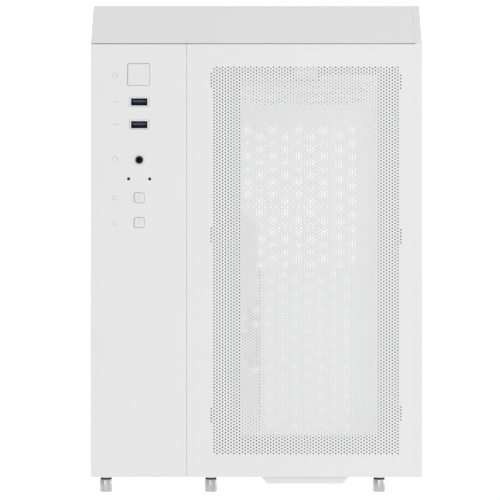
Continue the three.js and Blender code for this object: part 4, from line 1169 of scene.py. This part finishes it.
def board_scatter():
    """Small chips, capacitors and chokes on the free places of the board, always in the same order."""
    chips = [pattern("chip", block((-size, -size * 0.7, 0), (size, size * 0.7, 0.9), 0.12, 1))
             for size in (1.0, 1.8, 3.2)]
    cans = [pattern("can", lathe([(0, 0), (radius, 0), (radius, 5.2), (radius - 0.4, 5.6), (0, 5.6)],
                                 "z", (0, 0, 0), 14)) for radius in (2.0, 3.0, 2.5)]
    taken = taken_boxes()
    picker = random.Random(SCATTER_SEED)
    chosen = {"chips": [], "cans": []}
    for _ in range(DRAWS):
        y = GRID * round(picker.uniform(BOARD_LOW.y + 6, BOARD_HIGH.y - 6) / GRID)
        z = GRID * round(picker.uniform(BOARD_LOW.z + 6, BOARD_HIGH.z - 6) / GRID)
        near = any(a - 5 < y < b + 5 and c - 5 < z < d + 5 for a, b, c, d in taken)
        kind = "cans" if picker.random() < 0.12 else "chips"
        room = 5.5 if kind == "cans" else 4.2
        crowded = any(math.hypot(y - v, z - w) < room for points in chosen.values() for v, w, _ in points)
        if not near and not crowded:
            chosen[kind].append((y, z, 0))
    groups = []
    for points, patterns in ((chosen["chips"], chips), (chosen["cans"], cans)):
        parts = repeated(points, [i % 3 for i in range(len(points))], patterns)
        parts.transform(onto("side", FACE))
        groups.append([parts])
    for shape in (*chips, *cans):
        bpy.data.objects.remove(shape)
    add_piece("board_components", "chassis", "black_plastic", dict(zip(("black_plastic", "aluminium"), groups)))


def card_slot(z, y0, y1):
    """A card slot: two rails with a groove between them, and a latch at its front end."""
    half, groove, height = 3.8, 0.9, 10.8
    return [
        block((FACE, y0, z - half), (FACE + 3, y1, z + half)),
        block((FACE + 2.9, y0, z - half), (FACE + height, y1, z - groove)),
        block((FACE + 2.9, y0, z + groove), (FACE + height, y1, z + half)),
        block((FACE + 2.9, y0, z - half + 0.1), (FACE + height - 0.1, y0 + 2, z + half - 0.1)),
        block((FACE, y0 - 5, z - 2.6), (FACE + height + 2.5, y0 - 0.5, z + 2.6), 0.8),
    ]


def board_covers():
    """Card slots, the metal covers between them, the chipset's cover and the drive connectors."""
    slots = []
    for index, length in enumerate((90, 90, 40)):
        slots += card_slot(FIRST_SLOT_Z + 2 * index * SLOT_PITCH, 148 - length, 148)
    covers = []
    for index in range(2):
        z = FIRST_SLOT_Z + (2 * index + 1) * SLOT_PITCH
        covers += [block((FACE + 1.5, 36, z - 11), (FACE + 6.5, 132, z + 11), 1.2, 3),
                   block((FACE + 6.2, 40, z - 0.5), (FACE + 6.9, 128, z + 0.5), 0.2)]
        covers += [screw_head((FACE + 6.4, y, z + 7), "x", 1.8, 1.2) for y in (42, 126)]
    covers.append(block((FACE + 1.5, -40, 232), (FACE + 9, 14, 296), 2.0, 3))
    covers += [block((FACE + 8.8, -36, z - 0.7), (FACE + 9.8, 10, z + 0.7), 0.25) for z in range(240, 292, 8)]
    edge = BOARD_LOW.y
    sockets = [block((FACE, edge + 2, z), (FACE + 8, edge + 16, z + 17), 0.4) for z in (210, 232)]
    sockets += [block((FACE, edge + 3, z), (FACE + 6, edge + 6, z + 10), 0.3) for z in (30, 46, 62)]
    add_piece("board_card_slots", "chassis", "white_plastic",
              {"white_plastic": slots, "aluminium": covers, "black_plastic": sockets}, "expansion_slot")


def memory_module(node):
    """A memory module in its socket: a board with its chips under a ribbed metal spreader."""
    low, high = box(node)
    y = (low.y + high.y) / 2
    z0, z1 = low.z + 4.0, high.z - 4.0
    sockets = [block((low.x, low.y, low.z), (low.x + 8.5, high.y, high.z), 0.5)]
    sockets += [block((low.x + 8, y - 2.4, z), (low.x + 13, y + 2.4, z + 3.4), 0.8) for z in (low.z, high.z - 3.4)]
    spreaders = [block((low.x + 9, y - 2.8, z0), (high.x, y + 2.8, z1), 0.6)]
    ribs = 9
    for index in range(ribs):
        z = z0 + (index + 1) * (z1 - z0) / (ribs + 1)
        spreaders.append(block((low.x + 12, y - 3.15, z - 2.6), (high.x - 1.5, y + 3.15, z + 2.6), 0.35))
    add_piece(f"{node}_spreader", "chassis", "white_plastic", {"white_plastic": sockets, "powder_coat": spreaders},
              node)


def header(node):
    """The supply header: a box with a grid of square openings, and the plug that sits on it."""
    low, high = box(node)
    steps = 12
    pins = []
    for index in range(steps):
        z = low.z + 2.2 + index * (high.z - low.z - 4.4) / (steps - 1)
        pins += [block((high.x - 3.4, y - 1.4, z - 1.4), (high.x, y + 1.4, z + 1.4), 0.3)
                 for y in (low.y + 2.5, high.y - 2.5)]
    add_piece(f"{node}_plug", "chassis", "white_plastic",
              {"white_plastic": [block(low, (high.x - 3, high.y, high.z), 0.4)], "white_liner": pins}, node)


board_scatter()
board_covers()
for number in (1, 2):
    memory_module(f"memory_module_{number}")
header("power_header")


# ---- cables ------------------------------------------------------------------------------------------------------
def smooth_path(points, steps):
    """Points along a smooth curve through the given ones."""
    ends = [2 * points[0] - points[1], *points, 2 * points[-1] - points[-2]]
    path = []
    for a, b, c, d in zip(ends, ends[1:], ends[2:], ends[3:]):
        for i in range(steps):
            t = i / steps
            path.append(0.5 * (2 * b + (c - a) * t + (2 * a - 5 * b + 4 * c - d) * t ** 2
                               + (3 * b - a - 3 * c + d) * t ** 3))
    return [*path, points[-1]]


def tube(path, radius, sides=10):
    """A closed tube along a path, its sections turned as little as possible."""
    shape = bmesh.new()
    side = Vector((0, 0, 1))
    rings = []
    for i, point in enumerate(path):
        along = (path[min(i + 1, len(path) - 1)] - path[max(i - 1, 0)]).normalized()
        side = (side - side.project(along)).normalized()
        other = along.cross(side)
        rings.append([shape.verts.new(point + a * side + b * other) for a, b in circle(0, 0, radius, sides)])
    for lower, upper in zip(rings, rings[1:]):
        for k in range(sides):
            shape.faces.new([lower[k], lower[(k + 1) % sides], upper[(k + 1) % sides], upper[k]])
    shape.faces.new(list(reversed(rings[0])))
    shape.faces.new(rings[-1])
    bmesh.ops.recalc_face_normals(shape, faces=shape.faces)
    return shape


def cable(node, points, radius, strands):
    """A bundle of sleeved strands side by side round the cable's middle line, and one along it."""
    path = smooth_path([Vector(point) for point in points], 8)
    strand = radius / (1 + 1 / math.sin(math.pi / strands))
    tubes = []
    for angle in (2 * math.pi * number / strands for number in range(strands)):
        shift = (radius - strand) * Vector((0.7 * math.sin(angle), 0.7 * math.sin(angle), math.cos(angle)))
        tubes.append(tube([point + shift for point in path], strand * 1.05))
    tubes.append(tube(path, max(radius - 2 * strand, 0.5 * strand)))
    add_piece(f"{node}_strands", "chassis", "cable_sleeve", {"sleeve": tubes}, node)


def cables():
    header_low, header_high = box("power_header")
    x, y = header_high.x + 0.5, (header_low.y + header_high.y) / 2
    supply_y = box("supply_case")[0].y
    cable("main_power_cable", [
        (x, y, 122), (x + 4, y, 122), (x + 14, y - 4, 121), (x + 17, y - 17, 118), (-22, -79, 112), (-44, -80, 110),
        (-60, -72, 110), (-72, -30, 108), (-79, 20, 102), (-80, supply_y - 8, 100), (-80, supply_y - 0.5, 100),
    ], 5.0, 7)
    board_y = box("io_board")[0].y + 2.0
    port_x = middle("usb_port_1").x
    cable("front_io_cable", [
        (port_x, board_y + 9.4, 220), (port_x + 1, board_y + 24, 218), (-88, -150, 200), (-70, -128, 180),
        (-56, -104, 150), (-50, -86, 142), (-43, -78, 141), (-34, -72, 143), (-29, -62, 150),
    ], 2.5, 4)


cables()


# ---- power supply's rear face, and the frame behind the front panels ---------------------------------------------
def supply_rear_face():
    """A black sheet of painted shade for the dark inside of the supply, and a perforated sheet over it, on the part of
    the supply's rear face that air leaves by.
    """
    low, high = box("supply_case")
    y = high.y
    vent = (low.x + 7, box("supply_switch")[1].z + 6, 14, 12)
    opening = zone(*vent, COARSE["pitch"])
    (u0, v0), (u1, v1) = opening[0], opening[2]
    shade_backing = block((u0 - 1, y + 0.02, v0 - 1), (u1 + 1, y + 0.3, v1 + 1), 0.05)
    holes = perforated("rear", vent, y + 0.35, y + 1.2, **COARSE)
    border = plate("rear", [rectangle(u0 - 2.5, u1 + 2.5, v0 - 2.5, v1 + 2.5), opening], y + 0.1, y + 1.2, bevel=0.1)
    add_piece("supply_rear_sheet", "chassis", "white_steel",
              {"black_plastic": [shade_backing], "painted_light_coat": [holes, border]})


def front_frame():
    """The sheet behind the front panels: a large window, and slots for the board, studs, clip and mesh edges. Its dark
    grey coat is painted shade on white steel.
    """
    low, high = box("front_frame")
    board_low, board_high = box("io_board")
    x0, x1, z0, z1 = FRAME_WINDOW
    half, slot_low, slot_high = CLIP_SLOT
    tab, tab_low = half + CLIP_BORDER, slot_low - CLIP_BORDER
    window = [(x0, z0), (x1, z0), (x1, z1), (CLIP[0] + tab, z1), (CLIP[0] + tab, tab_low), (CLIP[0] - tab, tab_low),
              (CLIP[0] - tab, z1), (x0, z1)]
    loops = [rectangle(low.x, high.x, low.z, high.z), window,
             rectangle(board_low.x - 2, board_high.x + 2, board_low.z - 2, board_high.z + 2),
             rectangle(CLIP[0] - half, CLIP[0] + half, slot_low, slot_high)]
    loops += [circle(x, z, 2.8, 16) for x, z in STUDS]
    loops += [rounded(x, z, 3.6, 2 * NOTCH_HALF, 1.0) for x, z in SIDE_SLOTS]
    sheet = plate("front", loops, low.y, high.y, bevel=0.2)
    # black blocks behind the side slots: painted shade, so the outermost mesh holes in front of them look dark
    shade_blocks = [block((x - 2.4, high.y + 0.1, z - NOTCH_HALF - 1), (x + 2.4, high.y + 1.3, z + NOTCH_HALF + 1), 0.3)
               for x, z in SIDE_SLOTS]
    add_piece("front_frame_sheet", "chassis", "white_steel", {"painted_shade_coat": [sheet], "black_plastic": shade_blocks},
              "front_frame")


supply_rear_face()
front_frame()

# CAD nodes that keep their shape, with the material each shows
KEPT = {
    "powder_coat": ["glass_frame", "supply_case", "drive_bracket"],
    # inner walls in the lighter copy of the white coat: painted light for the dim inside of the case
    "painted_light_coat": ["divider_wall", "roof_plate", "base_pan"],
    "black_plastic": ["power_inlet", "supply_switch"],
    "board": ["motherboard", "io_board"],
    "grey_plastic": ["solid_state_drive"],
    "aluminium": ["cpu_heatsink", "vrm_heatsink", "hard_drive"],
    "shell_steel": ["rear_ports"],
    "glass": ["glass_panel"],
}
for finish, names in KEPT.items():
    for kept in (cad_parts[name] for name in names):
        for slot in kept.material_slots:
            slot.material = MATERIALS[finish]
        if finish != "glass":
            rounding = kept.modifiers.new("edges", "BEVEL")
            rounding.width = 0.25 * MM
            rounding.segments = 2
            rounding.limit_method = "ANGLE"
            rounding.angle_limit = math.radians(40)

# The single cells were only patterns for the sheets
for single in (single for cells in CELLS.values() for single in cells):
    bpy.data.objects.remove(single)
